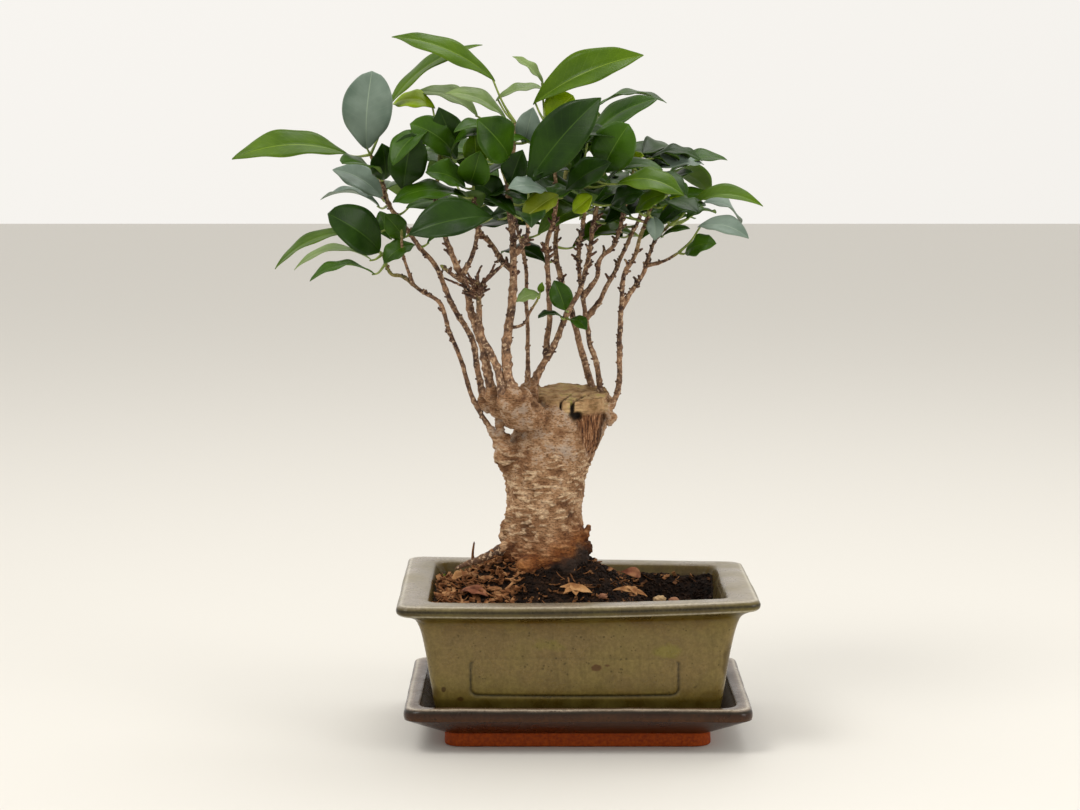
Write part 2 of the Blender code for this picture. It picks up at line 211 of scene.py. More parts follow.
def smooth_rows(rows, steps):
    """A smooth curve through rows of numbers, with steps points for each span."""
    table = np.array(rows, float)
    padded = np.vstack((2 * table[0] - table[1], table, 2 * table[-1] - table[-2]))
    out = []
    for i in range(1, len(padded) - 2):
        before, first, second, after = padded[i - 1:i + 3]
        for step in range(steps):
            t = step / steps
            out.append(0.5 * (
                2 * first + (second - before) * t
                + (2 * before - 5 * first + 4 * second - after) * t**2
                + (3 * first - before - 3 * second + after) * t**3
            ))
    out.append(table[-1])
    return np.array(out)


def ring_faces(rings, count, first_cap=True, last_cap=True):
    """Faces between successive rings of count points, with caps."""
    faces = []
    for row in range(rings - 1):
        low = row * count
        high = low + count
        for i in range(count):
            j = (i + 1) % count
            faces.append((low + i, low + j, high + j, high + i))
    if first_cap:
        faces.append(tuple(reversed(range(count))))
    if last_cap:
        faces.append(tuple(range((rings - 1) * count, rings * count)))
    return faces


def rough(point, scale, seed=0.0):
    """Noise of about -1 to 1 at a point in millimetres, with features of about scale millimetres."""
    return noise.noise(Vector(point) / scale + Vector((seed, seed * 1.7, -seed)))


# ---------------------------------------------------------------- stems

# Radius at the foot and at the end, parent stem, route.
STEMS = {
    "stem_far_left": (1.5, 0.9, None, (
        (-47, -10, 170), (-51, -11, 177), (-59, -12, 191), (-65, -13, 211), (-72, -14, 229),
        (-77, -14, 245), (-88, -13, 252), (-98, -14, 260), (-105, -16, 262), (-109, -18, 273),
    )),
    "stem_left": (1.9, 1.1, None, (
        (-53, 6, 186), (-55, 8, 197), (-57, 9, 207), (-59, 10, 220), (-64, 9, 231), (-69, 6, 239),
        (-74, 3, 250), (-80, 0, 265), (-88, -3, 275), (-96, -5, 286), (-106, -6, 300),
        (-110, -7, 313), (-116, -8, 328),
    )),
    "stem_front_left": (2.8, 1.0, None, (
        (-47, -19, 193), (-50, -19, 203), (-53, -20, 221), (-57, -21, 232), (-60, -23, 243),
        (-62, -24, 254), (-66, -27, 264), (-71, -29, 276), (-75, -30, 287), (-79, -28, 303),
        (-77, -24, 321), (-76, -20, 336),
    )),
    "stem_front_inner": (2.4, 1.4, None, (
        (-41.5, -30, 190), (-44, -29, 207), (-49, -28, 219), (-54, -27, 229), (-55, -29, 244),
        (-56, -31, 258),
    )),
    "stem_front": (3.2, 1.1, None, (
        (-36, -28, 194), (-39, -28, 206), (-40, -29, 221), (-38, -29, 236), (-36, -27, 255),
        (-36, -25, 268), (-36, -24, 283), (-38, -24, 296), (-39, -24, 312), (-36, -20, 330),
        (-35, -14, 346),
    )),
    "stem_thin": (1.3, 0.9, None, (
        (-28, 12, 196), (-28, 13, 212), (-28, 14, 226), (-29, 15, 243), (-29, 18, 262),
        (-33, 28, 280), (-38, 40, 300), (-44, 50, 322),
    )),
    "stem_slanting": (2.1, 1.0, None, (
        (-26, -4, 196), (-20, -6, 209), (-15, -7, 217), (-10, -6, 228), (-5, -4, 240),
        (1, -5, 251), (6, -3, 268), (9, 2, 288), (13, 6, 308), (16, 8, 326),
    )),
    "stem_centre": (1.9, 0.9, "stem_slanting", (
        (-19, -6, 211), (-17, -1, 223), (-15.5, 0, 235), (-16, -1, 250), (-17, -4, 266),
        (-17, -8, 280), (-13, -12, 293), (-12, -16, 308), (-14, -18, 328), (-18, -12, 346),
    )),
    "stem_back": (2.4, 1.0, None, (
        (10, 17, 186), (8, 20, 196), (5, 22, 207), (1, 24, 221), (-3, 27, 238), (-9, 32, 255), (-12, 38, 272),
        (-11, 46, 288), (-8, 56, 305), (-4, 60, 326),
    )),
    "stem_right_inner": (1.8, 0.9, None, (
        (13.5, 5, 188), (13, 6, 196), (11, 8, 209), (7, 9, 222), (5, 9, 236), (3, 8, 248), (1, 6, 262),
        (1, 2, 275), (3, -6, 288), (4, -16, 302), (2, -22, 320),
    )),
    "stem_right": (1.8, 1.0, None, (
        (17, -3, 183), (21.5, -2.5, 190), (23.6, -2, 198), (24, -3, 211), (24, -4, 227), (25, -5, 246),
        (26, -6, 260), (30, -9, 267), (33, -12, 275), (37, -16, 288), (41, -19, 300),
    )),
    "twig_far_left": (1.0, 0.7, "stem_far_left", (
        (-90, -13, 253), (-95, -17, 264), (-98, -20, 275), (-98, -23, 287),
    )),
    "twig_front_low": (1.5, 0.9, "stem_front_left", (
        (-62, -24, 255), (-69, -33, 262), (-76, -38, 268),
    )),
    "twig_front_upright": (1.5, 0.8, "stem_front_left", (
        (-63, -25, 258), (-59, -29, 272), (-56, -33, 284), (-57, -34, 297), (-58, -31, 312),
    )),
    "twig_outer": (1.9, 0.9, "stem_front", (
        (-36, -25, 262), (-42, -19, 269), (-48, -16, 278), (-55, -14, 286), (-60, -14, 301),
    )),
    "twig_inner": (1.3, 0.8, "stem_front", (
        (-36, -25, 270), (-30, -32, 279), (-28, -37, 286), (-28, -41, 298),
    )),
    "twig_back_right": (1.6, 0.9, "stem_right_inner", (
        (6, 8, 231), (12, 14, 243), (17, 18, 252), (23, 23, 263), (30, 32, 278), (38, 42, 294),
        (44, 48, 312),
    )),
    "twig_right_fork": (1.4, 0.8, "stem_right_inner", (
        (4, 8, 243), (11, 6, 258), (13, 4, 269), (20, 1, 276), (24, -1, 287), (27, 0, 299),
        (31, 2, 316), (32, 6, 330),
    )),
    "twig_right_outer": (1.5, 0.8, "stem_right", (
        (24.5, -4, 238), (31, 3, 251), (38, 6, 261), (41, 5, 271), (45, 4, 281), (52, 3, 288),
    )),
    "twig_right_low": (1.1, 0.7, "twig_right_outer", (
        (39, 6, 263), (49, -1, 268), (57, -6, 273),
    )),
    "twig_middle": (0.9, 0.6, "stem_front", (
        (-38.5, -29, 232), (-31, -38, 235), (-26, -40, 243), (-22, -42, 250),
    )),
}
STEM_STEP = 1.1
STEM_AROUND = 12
KNOT_SPACING = 8.5
# The surface root's route and its radius at each point.
ROOT_ROUTE = (
    (-38, -8, 106), (-43.5, -10, 104), (-49, -13, 102), (-56, -16, 99.5), (-63, -18, 97.5), (-69, -20, 95),
)
ROOT_RADII = (5.0, 3.2, 2.5, 2.0, 1.4, 0.8)
ROOT_SEED = 77


def routed(points, radii, step):
    """Even points along a smooth route, with a radius for each."""
    rows = smooth_rows([(*p, r) for p, r in zip(points, radii)], 12)
    lengths = np.concatenate(([0.0], np.cumsum(np.linalg.norm(np.diff(rows[:, :3], axis=0), axis=1))))
    count = max(3, int(lengths[-1] / step))
    at = np.linspace(0.0, lengths[-1], count)
    return np.column_stack([np.interp(at, lengths, rows[:, k]) for k in range(4)]), at


def sweep(route, around, radius_at):
    """Points of rings round a route; radius_at(i, angle) gives each point's distance."""
    points = []
    spine = [Vector(row[:3]) for row in route]
    side = None
    for i, middle in enumerate(spine):
        ahead = (spine[min(i + 1, len(spine) - 1)] - spine[max(i - 1, 0)]).normalized()
        if side is None:
            side = ahead.orthogonal()
        side = (side - ahead * side.dot(ahead)).normalized()
        other = ahead.cross(side)
        for k in range(around):
            angle = math.tau * k / around
            radius = radius_at(i, angle)
            points.append(middle + side * (radius * math.cos(angle)) + other * (radius * math.sin(angle)))
    return points


def knotty_tube(name, points, radii, seed):
    """Points and faces of a stem with leaf-scar knots, slight bends and uneven bark."""
    route, at = routed(points, radii, STEM_STEP)
    draw = random.Random(seed)
    knots = []
    place = draw.uniform(2.0, KNOT_SPACING)
    while place < at[-1]:
        knots.append((place, draw.uniform(0.12, 0.42), draw.uniform(0.0, math.tau)))
        place += KNOT_SPACING * draw.uniform(0.45, 1.5)
    for i, row in enumerate(route):
        ease = min(1.0, at[i] / 12.0, (at[-1] - at[i]) / 6.0 + 0.3)
        row[0] += 0.45 * rough((at[i], seed * 7.3, 0.0), 9.0) * ease
        row[1] += 0.45 * rough((at[i], seed * 3.1, 50.0), 9.0) * ease

    def radius_at(i, angle):
        radius = route[i][3]
        swell = 1.0
        for knot, height, turn in knots:
            away = (at[i] - knot) / 1.3
            if abs(away) < 3.0:
                swell += height * math.exp(-away * away) * (0.7 + 0.5 * math.cos(angle - turn))
        grain = 0.07 * rough((at[i] * 0.9, math.cos(angle) * 3.0, math.sin(angle) * 3.0 + seed), 1.8)
        end = min(1.0, 0.35 + (at[-1] - at[i]) / 1.2)
        return radius * (swell + grain) * end

    return sweep(route, STEM_AROUND, radius_at), ring_faces(len(route), STEM_AROUND), route


def nearest_on(route, target):
    """Nearest point of a route: distance beyond its surface, point, radius, direction."""
    target = np.array(target, float)
    away = np.linalg.norm(route[:, :3] - target, axis=1) - route[:, 3]
    i = int(away.argmin())
    j = min(i + 1, len(route) - 1)
    ahead = Vector(route[j, :3] - route[max(j - 1, 0), :3]).normalized()
    return float(away[i]), Vector(route[i, :3]), float(route[i, 3]), ahead


# ---------------------------------------------------------------- leaves

# Foot of the blade, tip, width, the way the upper side looks, arch, tone. The tones paint light into the
# green:
# the dark one is painted shade on leaves that face the front, the light one painted light on leaves that face
# up, the grey one a painted sheen.
LEAVES = {
    "leaf_far_left": ((-128, -8, 328), (-192, -22, 327), 24, (0, -6, 8), 8, "light"),
    "leaf_upright": ((-118, -12, 331), (-114, -22, 374), 28, (1, -9, 0), 4, "grey_sheen"),
    "leaf_tall_left": ((-109, -2, 350), (-54, 4, 390), 17, (-5, -4, 7), 8, "light"),
    "leaf_top_left": ((-46, -9, 369), (-103, -15, 394), 17, (-3, -6, 8), 8, "light"),
    "leaf_top": ((-25, -8, 356), (36, -14, 384), 24, (-3, -8, 6), 9, "light"),
    "leaf_centre": ((-28, -47, 313), (11, -62, 360), 29, (-3, -9, 3), 4, "dark"),
    "leaf_edge_top": ((9, 8, 353), (50, 4, 358), 20, (0, -1, 9), 7, "mid"),
    "leaf_top_right": ((4, -20, 334), (43, -27, 360), 22, (-4, -5, 7), 5, "mid"),
    "leaf_front_right": ((13, -30, 319), (27, -42, 345), 25, (0, -9, 3), 4, "mid"),
    "leaf_right_back": ((40, 22, 318), (74, 44, 322), 18, (0, -5, 8), 4, "grey_sheen"),
    "leaf_right_low": ((21, -42, 313), (57, -58, 308), 19, (1, -6, 7), 6, "light"),
    "leaf_right": ((60, 2, 296), (104, -7, 300), 16, (0, -4, 8), 8, "light"),
    "leaf_right_behind": ((72, 20, 300), (95, 32, 286), 18, (2, -3, 8), 6, "grey_sheen"),
    "leaf_right_tip": ((67, -14, 288), (95, -24, 283), 18, (1, -5, 8), 4, "grey_sheen"),
    "leaf_right_small": ((60, -14, 273), (76, -27, 280), 16, (-1, -7, 7), 3, "mid"),
    "leaf_front_left": ((-47, -47, 295), (-92, -62, 287), 26, (0, -7, 6), 6, "dark"),
    "leaf_left_upright": ((-97, -26, 309), (-91, -37, 340), 22, (2, -9, 1), 3, "dark"),
    "leaf_left_upper": ((-111, -14, 315), (-129, -40, 325), 20, (-2, -6, 7), 4, "mid"),
    "leaf_left_grey": ((-109, 4, 302), (-138, 6, 320), 20, (-3, -4, 7), 5, "grey_sheen"),
    "leaf_left_dark": ((-110, -26, 275), (-136, -49, 297), 26, (-1, -8, 5), 5, "dark"),
    "leaf_left_long": ((-122, -6, 284), (-170, -14, 265), 15, (0, -3, 9), 8, "light"),
    "leaf_left_low": ((-114, -27, 270), (-157, -36, 266), 13, (0, -2, 9), 9, "pale"),
    "leaf_left_lowest": ((-112, -38, 263), (-147, -52, 261), 13, (0, -2, 9), 7, "mid"),
    "leaf_inner_left": ((-67, -20, 326), (-92, -30, 346), 22, (-2, -6, 6), 4, "mid"),
    "leaf_inner_front": ((-38, -36, 327), (-54, -62, 348), 25, (-1, -8, 4), 4, "mid"),
    "leaf_level": ((-62, -40, 306), (-102, -43, 304), 23, (0, -4, 9), 5, "mid"),
    "leaf_pale": ((-56, 6, 349), (-91, 10, 364), 20, (-2, -3, 9), 4, "pale"),
    "leaf_mid_shoot": ((-7, -14, 241), (-13, -20, 258), 13, (0, -9, 3), 2, "mid"),
    "leaf_back_high": ((-10, 66, 330), (14, 88, 350), 25, (-2, 5, 8), 6, "mid"),
    "leaf_back_left": ((-52, 58, 322), (-88, 80, 316), 25, (-1, 4, 9), 8, "mid"),
    "leaf_back_right": ((48, 54, 312), (80, 78, 304), 24, (2, 4, 9), 8, "mid"),
    "leaf_back_low": ((-20, 58, 303), (-34, 94, 292), 25, (0, 7, 7), 7, "dark"),
}

# Smaller leaves that fill the crown between the large ones, in the same form.
SMALL_LEAVES = (
    ((-19, -4, 367), (-36, -6, 383), 9, (2, -3, 5), 2, "pale"),
    ((-17, -10, 346), (-3, -14, 361), 20, (0, -8, 4), 2, "young"),
    ((30, 15, 324), (46, 40, 322), 16, (0, -3, 9), 3, "mid"),
    ((48, 0, 296), (60, 2, 304), 8, (-1, -6, 6), 1, "young"),
    ((62, 10, 291), (79, 18, 295), 15, (0, -2, 9), 3, "mid"),
    ((47, 2, 281), (63, -4, 287), 9, (0, -3, 8), 2, "mid"),
    ((18, -20, 300), (36, -32, 308), 16, (0, -7, 6), 3, "dark"),
    ((32, -18, 296), (48, -24, 307), 13, (-1, -6, 6), 3, "light"),
    ((42, -16, 294), (43, -22, 281), 10, (2, -8, 1), 2, "grey_sheen"),
    ((-112, 12, 298), (-146, 16, 303), 18, (0, -1, 9), 6, "grey_sheen"),
    ((-111, -8, 284), (-124, -12, 285), 11, (0, -5, 8), 2, "light"),
    ((-105, -2, 280), (-112, 2, 296), 10, (-3, -7, 2), 2, "mid"),
    ((-97, -12, 281), (-107, -24, 295), 13, (-1, -8, 4), 2, "mid"),
    ((-91, -16, 278), (-108, -24, 269), 14, (-1, -6, 7), 3, "mid"),
    ((-85, -5, 278), (-71, -6, 284), 7, (0, -3, 8), 2, "mid"),
    ((-68, -14, 332), (-77, -26, 354), 17, (-1, -9, 2), 3, "dark"),
    ((-56, -30, 322), (-57, -38, 340), 15, (1, -9, 2), 2, "light"),
    ((-60, -32, 312), (-54, -46, 330), 18, (1, -9, 3), 3, "mid"),
    ((-62, -33, 310), (-83, -46, 320), 18, (-1, -7, 6), 3, "mid"),
    ((-72, 15, 320), (-86, 26, 330), 18, (-1, -5, 7), 3, "mid"),
    ((-80, 0, 354), (-104, 4, 357), 18, (0, -5, 8), 4, "young"),
    ((-39, -12, 346), (-73, -22, 363), 20, (-2, -4, 8), 5, "pale"),
    ((-46, -2, 358), (-20, 6, 366), 13, (1, -2, 8), 3, "pale"),
    ((-30, -16, 334), (-25, -26, 354), 14, (1, -7, 4), 2, "grey_sheen"),
    ((-38, -28, 312), (-31, -37, 331), 15, (0, -8, 4), 2, "dark"),
    ((-42, -14, 300), (-57, -22, 314), 18, (-1, -7, 5), 3, "dark"),
    ((-17, -48, 309), (-38, -58, 312), 17, (0, -5, 8), 3, "grey_sheen"),
    ((-11, -46, 307), (-31, -60, 294), 15, (1, -6, 7), 3, "olive"),
    ((-3, -30, 297), (7, -38, 306), 11, (0, -8, 4), 1, "young"),
    ((-7, -36, 309), (17, -46, 325), 18, (-1, -7, 5), 3, "dark"),
    ((55, -8, 313), (61, -12, 306), 7, (1, -6, 5), 1, "mid"),
    ((30, -6, 322), (36, -14, 328), 8, (-1, -7, 5), 1, "young"),
    ((-21, -42, 252), (-34, -48, 249), 10, (0, -5, 7), 2, "pale"),
    ((-21, -43, 253), (-20, -46, 259), 4, (0, -8, 3), 1, "light"),
    ((-8, -12, 237), (-22, -20, 238), 9, (0, -2, 9), 2, "dark"),
    ((-4, -10, 236), (5, -18, 231), 9, (1, -6, 6), 2, "mid"),
    ((-108, -14, 314), (-108, -28, 334), 18, (2, -8, 4), 3, "dark"),
)

# Shoots on the far side: stem, first and last share of its length, how many leaves.
FAR_SHOOTS = (
    ("stem_back", 0.55, 1.0, 9),
    ("stem_thin", 0.62, 1.0, 8),
    ("twig_back_right", 0.55, 1.0, 8),
    ("stem_slanting", 0.70, 1.0, 6),
    ("twig_right_fork", 0.75, 1.0, 4),
    ("stem_left", 0.80, 0.95, 3),
    ("stem_centre", 0.82, 1.0, 4),
)
# Shoots inside the crown, in the same form.
INNER_SHOOTS = (
    ("stem_centre", 0.80, 1.0, 6),
    ("stem_right_inner", 0.80, 1.0, 6),
    ("twig_right_fork", 0.72, 1.0, 7),
    ("twig_outer", 0.75, 1.0, 4),
    ("stem_front", 0.86, 1.0, 5),
    ("stem_slanting", 0.76, 1.0, 6),
    ("twig_back_right", 0.74, 1.0, 5),
    ("twig_inner", 0.80, 1.0, 3),
    ("stem_front_left", 0.86, 1.0, 4),
    ("stem_right", 0.86, 1.0, 3),
)
GOLDEN_ANGLE = math.radians(137.5)
CROWN_TOP = 342.0
# How far the crown's top falls to each side, and where the fall starts and ends.
CROWN_FALLS = ((17.0, 20.0, 40.0), (18.0, -80.0, -100.0))
CROWN_LEFT = -112.0
# How round the tip is for each tone, 0 to 1, and the leaves whose tips are quite round.
BLUNT = {"dark": 0.35, "mid": 0.55, "light": 0.2, "young": 0.5, "pale": 0.15, "grey_sheen": 0.4, "olive": 0.3}
ROUND_TIPPED = {
    "leaf_upright_blade", "leaf_left_upright_blade", "leaf_inner_left_blade", "leaf_front_right_blade",
    "leaf_left_upper_blade", "leaf_left_dark_blade",
}
BLADE_ROWS = 26
BLADE_COLUMNS = 10
BLADE_THICK = 0.38
PETIOLE_AROUND = 8

TONES = {
    # upper side dark and light, under side, vein
    # painted shade: this darker green stands for the shade on leaves that face the front
    "dark": ("#122804", "#264206", "#4c6426", "#3e5a1a"),
    "mid": ("#203c03", "#3a5c07", "#5a7426", "#587626"),
    # painted light: this brighter green stands for the light on leaves that face up or are lit through
    "light": ("#365200", "#4f6c02", "#748834", "#7e9630"),
    "young": ("#6c8c00", "#8ea608", "#98a632", "#b8c250"),
    "pale": ("#5a7036", "#7e9258", "#8c9e6c", "#a8b880"),
    # painted sheen: this grey green stands for the white surround reflected in the leaf
    "grey_sheen": ("#56685a", "#7f8f82", "#8c9a8c", "#96a690"),
    "olive": ("#4a5a06", "#687210", "#747a30", "#929a48"),
}


VEIN_COUNT = 11.0
VEIN_LEAN = 0.36


def leaf_finish(tone):
    """Living fig leaf: a waxy upper side with a pale midrib and faint side veins that curve to the tip,
    and a paler, matte under side."""
    dark, light, under, vein = TONES[tone]
    made, tree, shader = new_material(f"leaf_upper_{tone}")
    where = add(tree, "ShaderNodeTexCoord")
    surface = add(tree, "ShaderNodeSeparateXYZ", {0: where.outputs["UV"]})
    centred = add(tree, "ShaderNodeMath", {0: surface.outputs["X"], 1: 0.5}, operation="SUBTRACT")
    across = add(tree, "ShaderNodeMath", {0: centred}, operation="ABSOLUTE")
    # side veins about 5 mm apart on each half, which lean towards the tip
    lean = add(tree, "ShaderNodeMath", {0: across, 1: -VEIN_LEAN, 2: surface.outputs["Y"]},
               operation="MULTIPLY_ADD")
    bands = add(tree, "ShaderNodeMath", {0: lean, 1: VEIN_COUNT}, operation="MULTIPLY")
    saw = add(tree, "ShaderNodeMath", {0: bands, 1: 0.5}, operation="PINGPONG")
    side = add(tree, "ShaderNodeMapRange", {0: saw, 1: 0.0, 2: 0.09, 3: 1.0, 4: 0.0})
    rib = add(tree, "ShaderNodeMapRange", {0: across, 1: 0.006, 2: 0.020, 3: 0.8, 4: 0.0})
    edge = add(tree, "ShaderNodeMapRange", {0: across, 1: 0.475, 2: 0.497, 3: 0.0, 4: 0.35})
    # cloudy change of green over about 20 mm, and cells of about 0.8 mm
    spot = where.outputs["Object"]
    cloud = add(tree, "ShaderNodeTexNoise", {"Vector": spot, "Scale": 48.0, "Detail": 3.0})
    cells = add(tree, "ShaderNodeTexNoise", {"Vector": spot, "Scale": 1250.0, "Detail": 1.0})
    blade = add(tree, "ShaderNodeValToRGB", {0: cloud}, stops=((0.32, dark), (0.68, light)))
    faint = add(tree, "ShaderNodeMath", {0: side, 1: 0.09}, operation="MULTIPLY")
    veined = add(tree, "ShaderNodeMix", {0: faint, 6: blade, 7: linear(vein)}, data_type="RGBA")
    ribbed = add(tree, "ShaderNodeMix", {0: rib, 6: veined, 7: linear(vein)}, data_type="RGBA")
    rimmed = add(tree, "ShaderNodeMix", {0: edge, 6: ribbed, 7: linear(vein)}, data_type="RGBA")
    gloss = add(tree, "ShaderNodeMapRange", {0: cloud, 1: 0.3, 2: 0.7, 3: 0.30, 4: 0.45})
    relief = add(tree, "ShaderNodeMath", {0: side, 1: -0.4, 2: cells}, operation="MULTIPLY_ADD")
    bump = add(tree, "ShaderNodeBump", {"Height": relief, "Strength": 0.22, "Distance": 0.0003})
    feed(tree, shader, {
        "Base Color": rimmed, "Roughness": gloss, "Normal": bump,
        "Specular IOR Level": 0.15, "Coat Weight": 0.04, "Coat Roughness": 0.25})

    below, tree, shader = new_material(f"leaf_under_{tone}")
    where = add(tree, "ShaderNodeTexCoord")
    surface = add(tree, "ShaderNodeSeparateXYZ", {0: where.outputs["UV"]})
    centred = add(tree, "ShaderNodeMath", {0: surface.outputs["X"], 1: 0.5}, operation="SUBTRACT")
    across = add(tree, "ShaderNodeMath", {0: centred}, operation="ABSOLUTE")
    rib = add(tree, "ShaderNodeMapRange", {0: across, 1: 0.012, 2: 0.04, 3: 1.0, 4: 0.0})
    spot = where.outputs["Object"]
    cloud = add(tree, "ShaderNodeTexNoise", {"Vector": spot, "Scale": 60.0, "Detail": 4.0})
    blade = add(tree, "ShaderNodeValToRGB", {0: cloud}, stops=((0.3, light), (0.62, under)))
    ribbed = add(tree, "ShaderNodeMix", {0: rib, 6: blade, 7: linear(vein)}, data_type="RGBA")
    bump = add(tree, "ShaderNodeBump", {"Height": cloud, "Strength": 0.2, "Distance": 0.0004})
    feed(tree, shader, {"Base Color": ribbed, "Roughness": 0.6, "Normal": bump, "Specular IOR Level": 0.15})
    return made, below


def petiole_finish():
    """Leaf stalk: smooth yellow-green skin, mottled in patches."""
    made, tree, shader = new_material("leaf_stalk")
    where = add(tree, "ShaderNodeTexCoord")
    patch = add(tree, "ShaderNodeTexNoise", {
        "Vector": where.outputs["Object"], "Scale": 220.0, "Detail": 3.0})
    skin = add(tree, "ShaderNodeValToRGB", {0: patch}, stops=((0.35, "#5f6f22"), (0.65, "#93a24a")))
    feed(tree, shader, {"Base Color": skin, "Roughness": 0.45})
    return made


def outline(share, blunt):
    """Half width of a blade, 1 at its widest: an ellipse with a wedge-shaped foot; blunt runs from 0,
    a drawn-out tip, to 1, a rounded one."""
    full = math.sin(math.pi * min(1.0, share) ** (0.98 + 0.26 * blunt)) ** (0.80 - 0.30 * blunt)
    foot = 1.0 - 0.30 * float(smooth_step(0.36, 0.0, share))
    tip = 1.0 - 0.42 * (1.0 - blunt) * float(smooth_step(0.80, 1.0, share))
    return max(0.02, full * foot * tip)


def leaf_points(foot, tip, width, face, arch, blunt, seed):
    """Rows of points of a blade's upper side, with its surface directions."""
    draw = random.Random(seed)
    foot = Vector(foot)
    tip = Vector(tip)
    run = tip - foot
    side = run.cross(Vector(face)).normalized()
    normal = side.cross(run).normalized()
    fold = draw.uniform(0.10, 0.34)
    curl = draw.uniform(-0.10, 0.16)
    wave = draw.uniform(0.2, 0.9)
    phase = draw.uniform(0.0, math.tau)
    sway = draw.uniform(-1.0, 1.0) * 0.035 * run.length
    twist = math.radians(draw.uniform(-14.0, 14.0))
    rows = []
    for i in range(BLADE_ROWS + 1):
        share = i / BLADE_ROWS
        middle = foot + run * share
        middle = middle + normal * (arch * 4.0 * share * (1.0 - share) - 0.05 * width * share**3)
        middle = middle + side * (sway * math.sin(math.pi * share))
        half = 0.5 * width * outline(share, blunt)
        turn = twist * (share - 0.5)
        across = side * math.cos(turn) + normal * math.sin(turn)
        above = normal * math.cos(turn) - side * math.sin(turn)
        row = []
        for k in range(BLADE_COLUMNS + 1):
            lane = 2.0 * k / BLADE_COLUMNS - 1.0
            lane = math.copysign(abs(lane) ** 1.15, lane)
            lift = half * (fold * abs(lane) - curl * lane * lane) * (1.15 - 0.6 * share)
            ripple = wave * math.sin(5.0 * math.pi * share + phase + lane)
            lift += ripple * lane * lane * min(1.0, half / 6.0)
            lift -= 0.35 * math.exp(-(lane * half / 0.8) ** 2)
            row.append(middle + across * (half * lane) + above * lift)
        rows.append((row, above))
    return rows


def blade_shell(rows):
    """A closed thin blade from its rows: points, faces, upper or under side, and surface coordinates."""
    count = BLADE_COLUMNS + 1
    points = []
    uvs = []
    for layer in (0.5, -0.5):
        for i, (lane, above) in enumerate(rows):
            for k, point in enumerate(lane):
                points.append(point + above * (BLADE_THICK * layer))
                uvs.append((k / BLADE_COLUMNS, i / BLADE_ROWS))
    faces = []
    indices = []
    lower = count * len(rows)
    for i in range(BLADE_ROWS):
        for k in range(BLADE_COLUMNS):
            a = i * count + k
            b = a + count
            faces.append((a, a + 1, b + 1, b))
            indices.append(0)
            faces.append((lower + a, lower + b, lower + b + 1, lower + a + 1))
            indices.append(1)
    border = [i * count for i in range(BLADE_ROWS)]
    border += [BLADE_ROWS * count + k for k in range(BLADE_COLUMNS)]
    border += [i * count + BLADE_COLUMNS for i in range(BLADE_ROWS, 0, -1)]
    border += [k for k in range(BLADE_COLUMNS, 0, -1)]
    for a, b in zip(border, border[1:] + border[:1]):
        faces.append((a, b, lower + b, lower + a))
        indices.append(0)
    return points, faces, indices, uvs


def outward(mesh):
    """Turn every face of a closed mesh to look out."""
    turned = bmesh.new()
    turned.from_mesh(mesh)
    bmesh.ops.recalc_face_normals(turned, faces=turned.faces)
    turned.to_mesh(mesh)
    turned.free()
    return mesh


def make_leaf(name, row, stems, finishes, seed, replaces=()):
    """A thin closed blade with its stalk, which grows from the nearest stem."""
    foot, tip, width, face, arch, tone = row
    blunt = BLUNT[tone] if replaces or seed % 3 else 0.9
    if name in ROUND_TIPPED:
        blunt = 1.0
    rows = leaf_points(foot, tip, width, face, arch, blunt, seed)
    points, faces, indices, uvs = blade_shell(rows)
    start = min((nearest_on(route, foot) for route in stems.values()), key=lambda found: found[0])
    blade_way = (Vector(tip) - Vector(foot)).normalized()
    first = start[1]
    last = Vector(foot) + blade_way * 1.5
    bend = first.lerp(last, 0.55) - UP * 0.08 * (last - first).length
    stalk, at = routed([first, bend, last], [0.95, 0.62, 0.55], 1.0)
    offset = len(points)
    points += sweep(stalk, PETIOLE_AROUND, lambda i, angle: stalk[i][3])
    uvs += [(0.5, 0.0)] * (len(stalk) * PETIOLE_AROUND)
    stalk_faces = ring_faces(len(stalk), PETIOLE_AROUND)
    faces += [tuple(offset + v for v in face) for face in stalk_faces]
    indices += [2] * len(stalk_faces)
    mesh = mesh_from(name, points, faces, (*finishes[tone], finishes["stalk"]), indices, uvs)
    return finish_piece(name, outward(mesh), replaces)


def crown_top(x):
    """Height that the crown's unnamed leaves stay under: it falls away to both sides."""
    height = CROWN_TOP
    for fall, start, end in CROWN_FALLS:
        height -= fall * float(smooth_step(start, end, x))
    return height


def shoot_leaves(stems, shoots, seed, lean, lengths, tones):
    """Leaves set round their shoots by the golden angle; lean pushes them to the back or the front."""
    draw = random.Random(seed)
    rows = []
    turn = 0.6
    for stem, first, last, count in shoots:
        route = stems[stem]
        for i in range(count):
            share = first + (last - first) * i / max(1, count - 1)
            spot = Vector(route[int(share * (len(route) - 1)), :3])
            turn += GOLDEN_ANGLE
            heading = Vector((math.cos(turn), lean + 0.65 * math.sin(turn), 0.0)).normalized()
            rise = draw.uniform(-0.15, 0.75) * (0.4 + 0.6 * share)
            way = (heading + UP * rise).normalized()
            length = draw.uniform(*lengths) * (0.75 + 0.25 * share)
            foot = spot + way * draw.uniform(8.0, 12.0)
            tip = foot + way * length
            tip.z = min(tip.z, crown_top(tip.x))
            if foot.z > crown_top(foot.x) + 2.0 or tip.x < CROWN_LEFT:
                continue
            face = UP + heading * draw.uniform(-0.1, 0.5) - Vector((0.0, 0.35, 0.0))
            width = length * draw.uniform(0.46, 0.58)
            rows.append((foot, tip, width, face, draw.uniform(3.0, 7.0), draw.choice(tones)))
    return rows


# ---------------------------------------------------------------- pot and tray

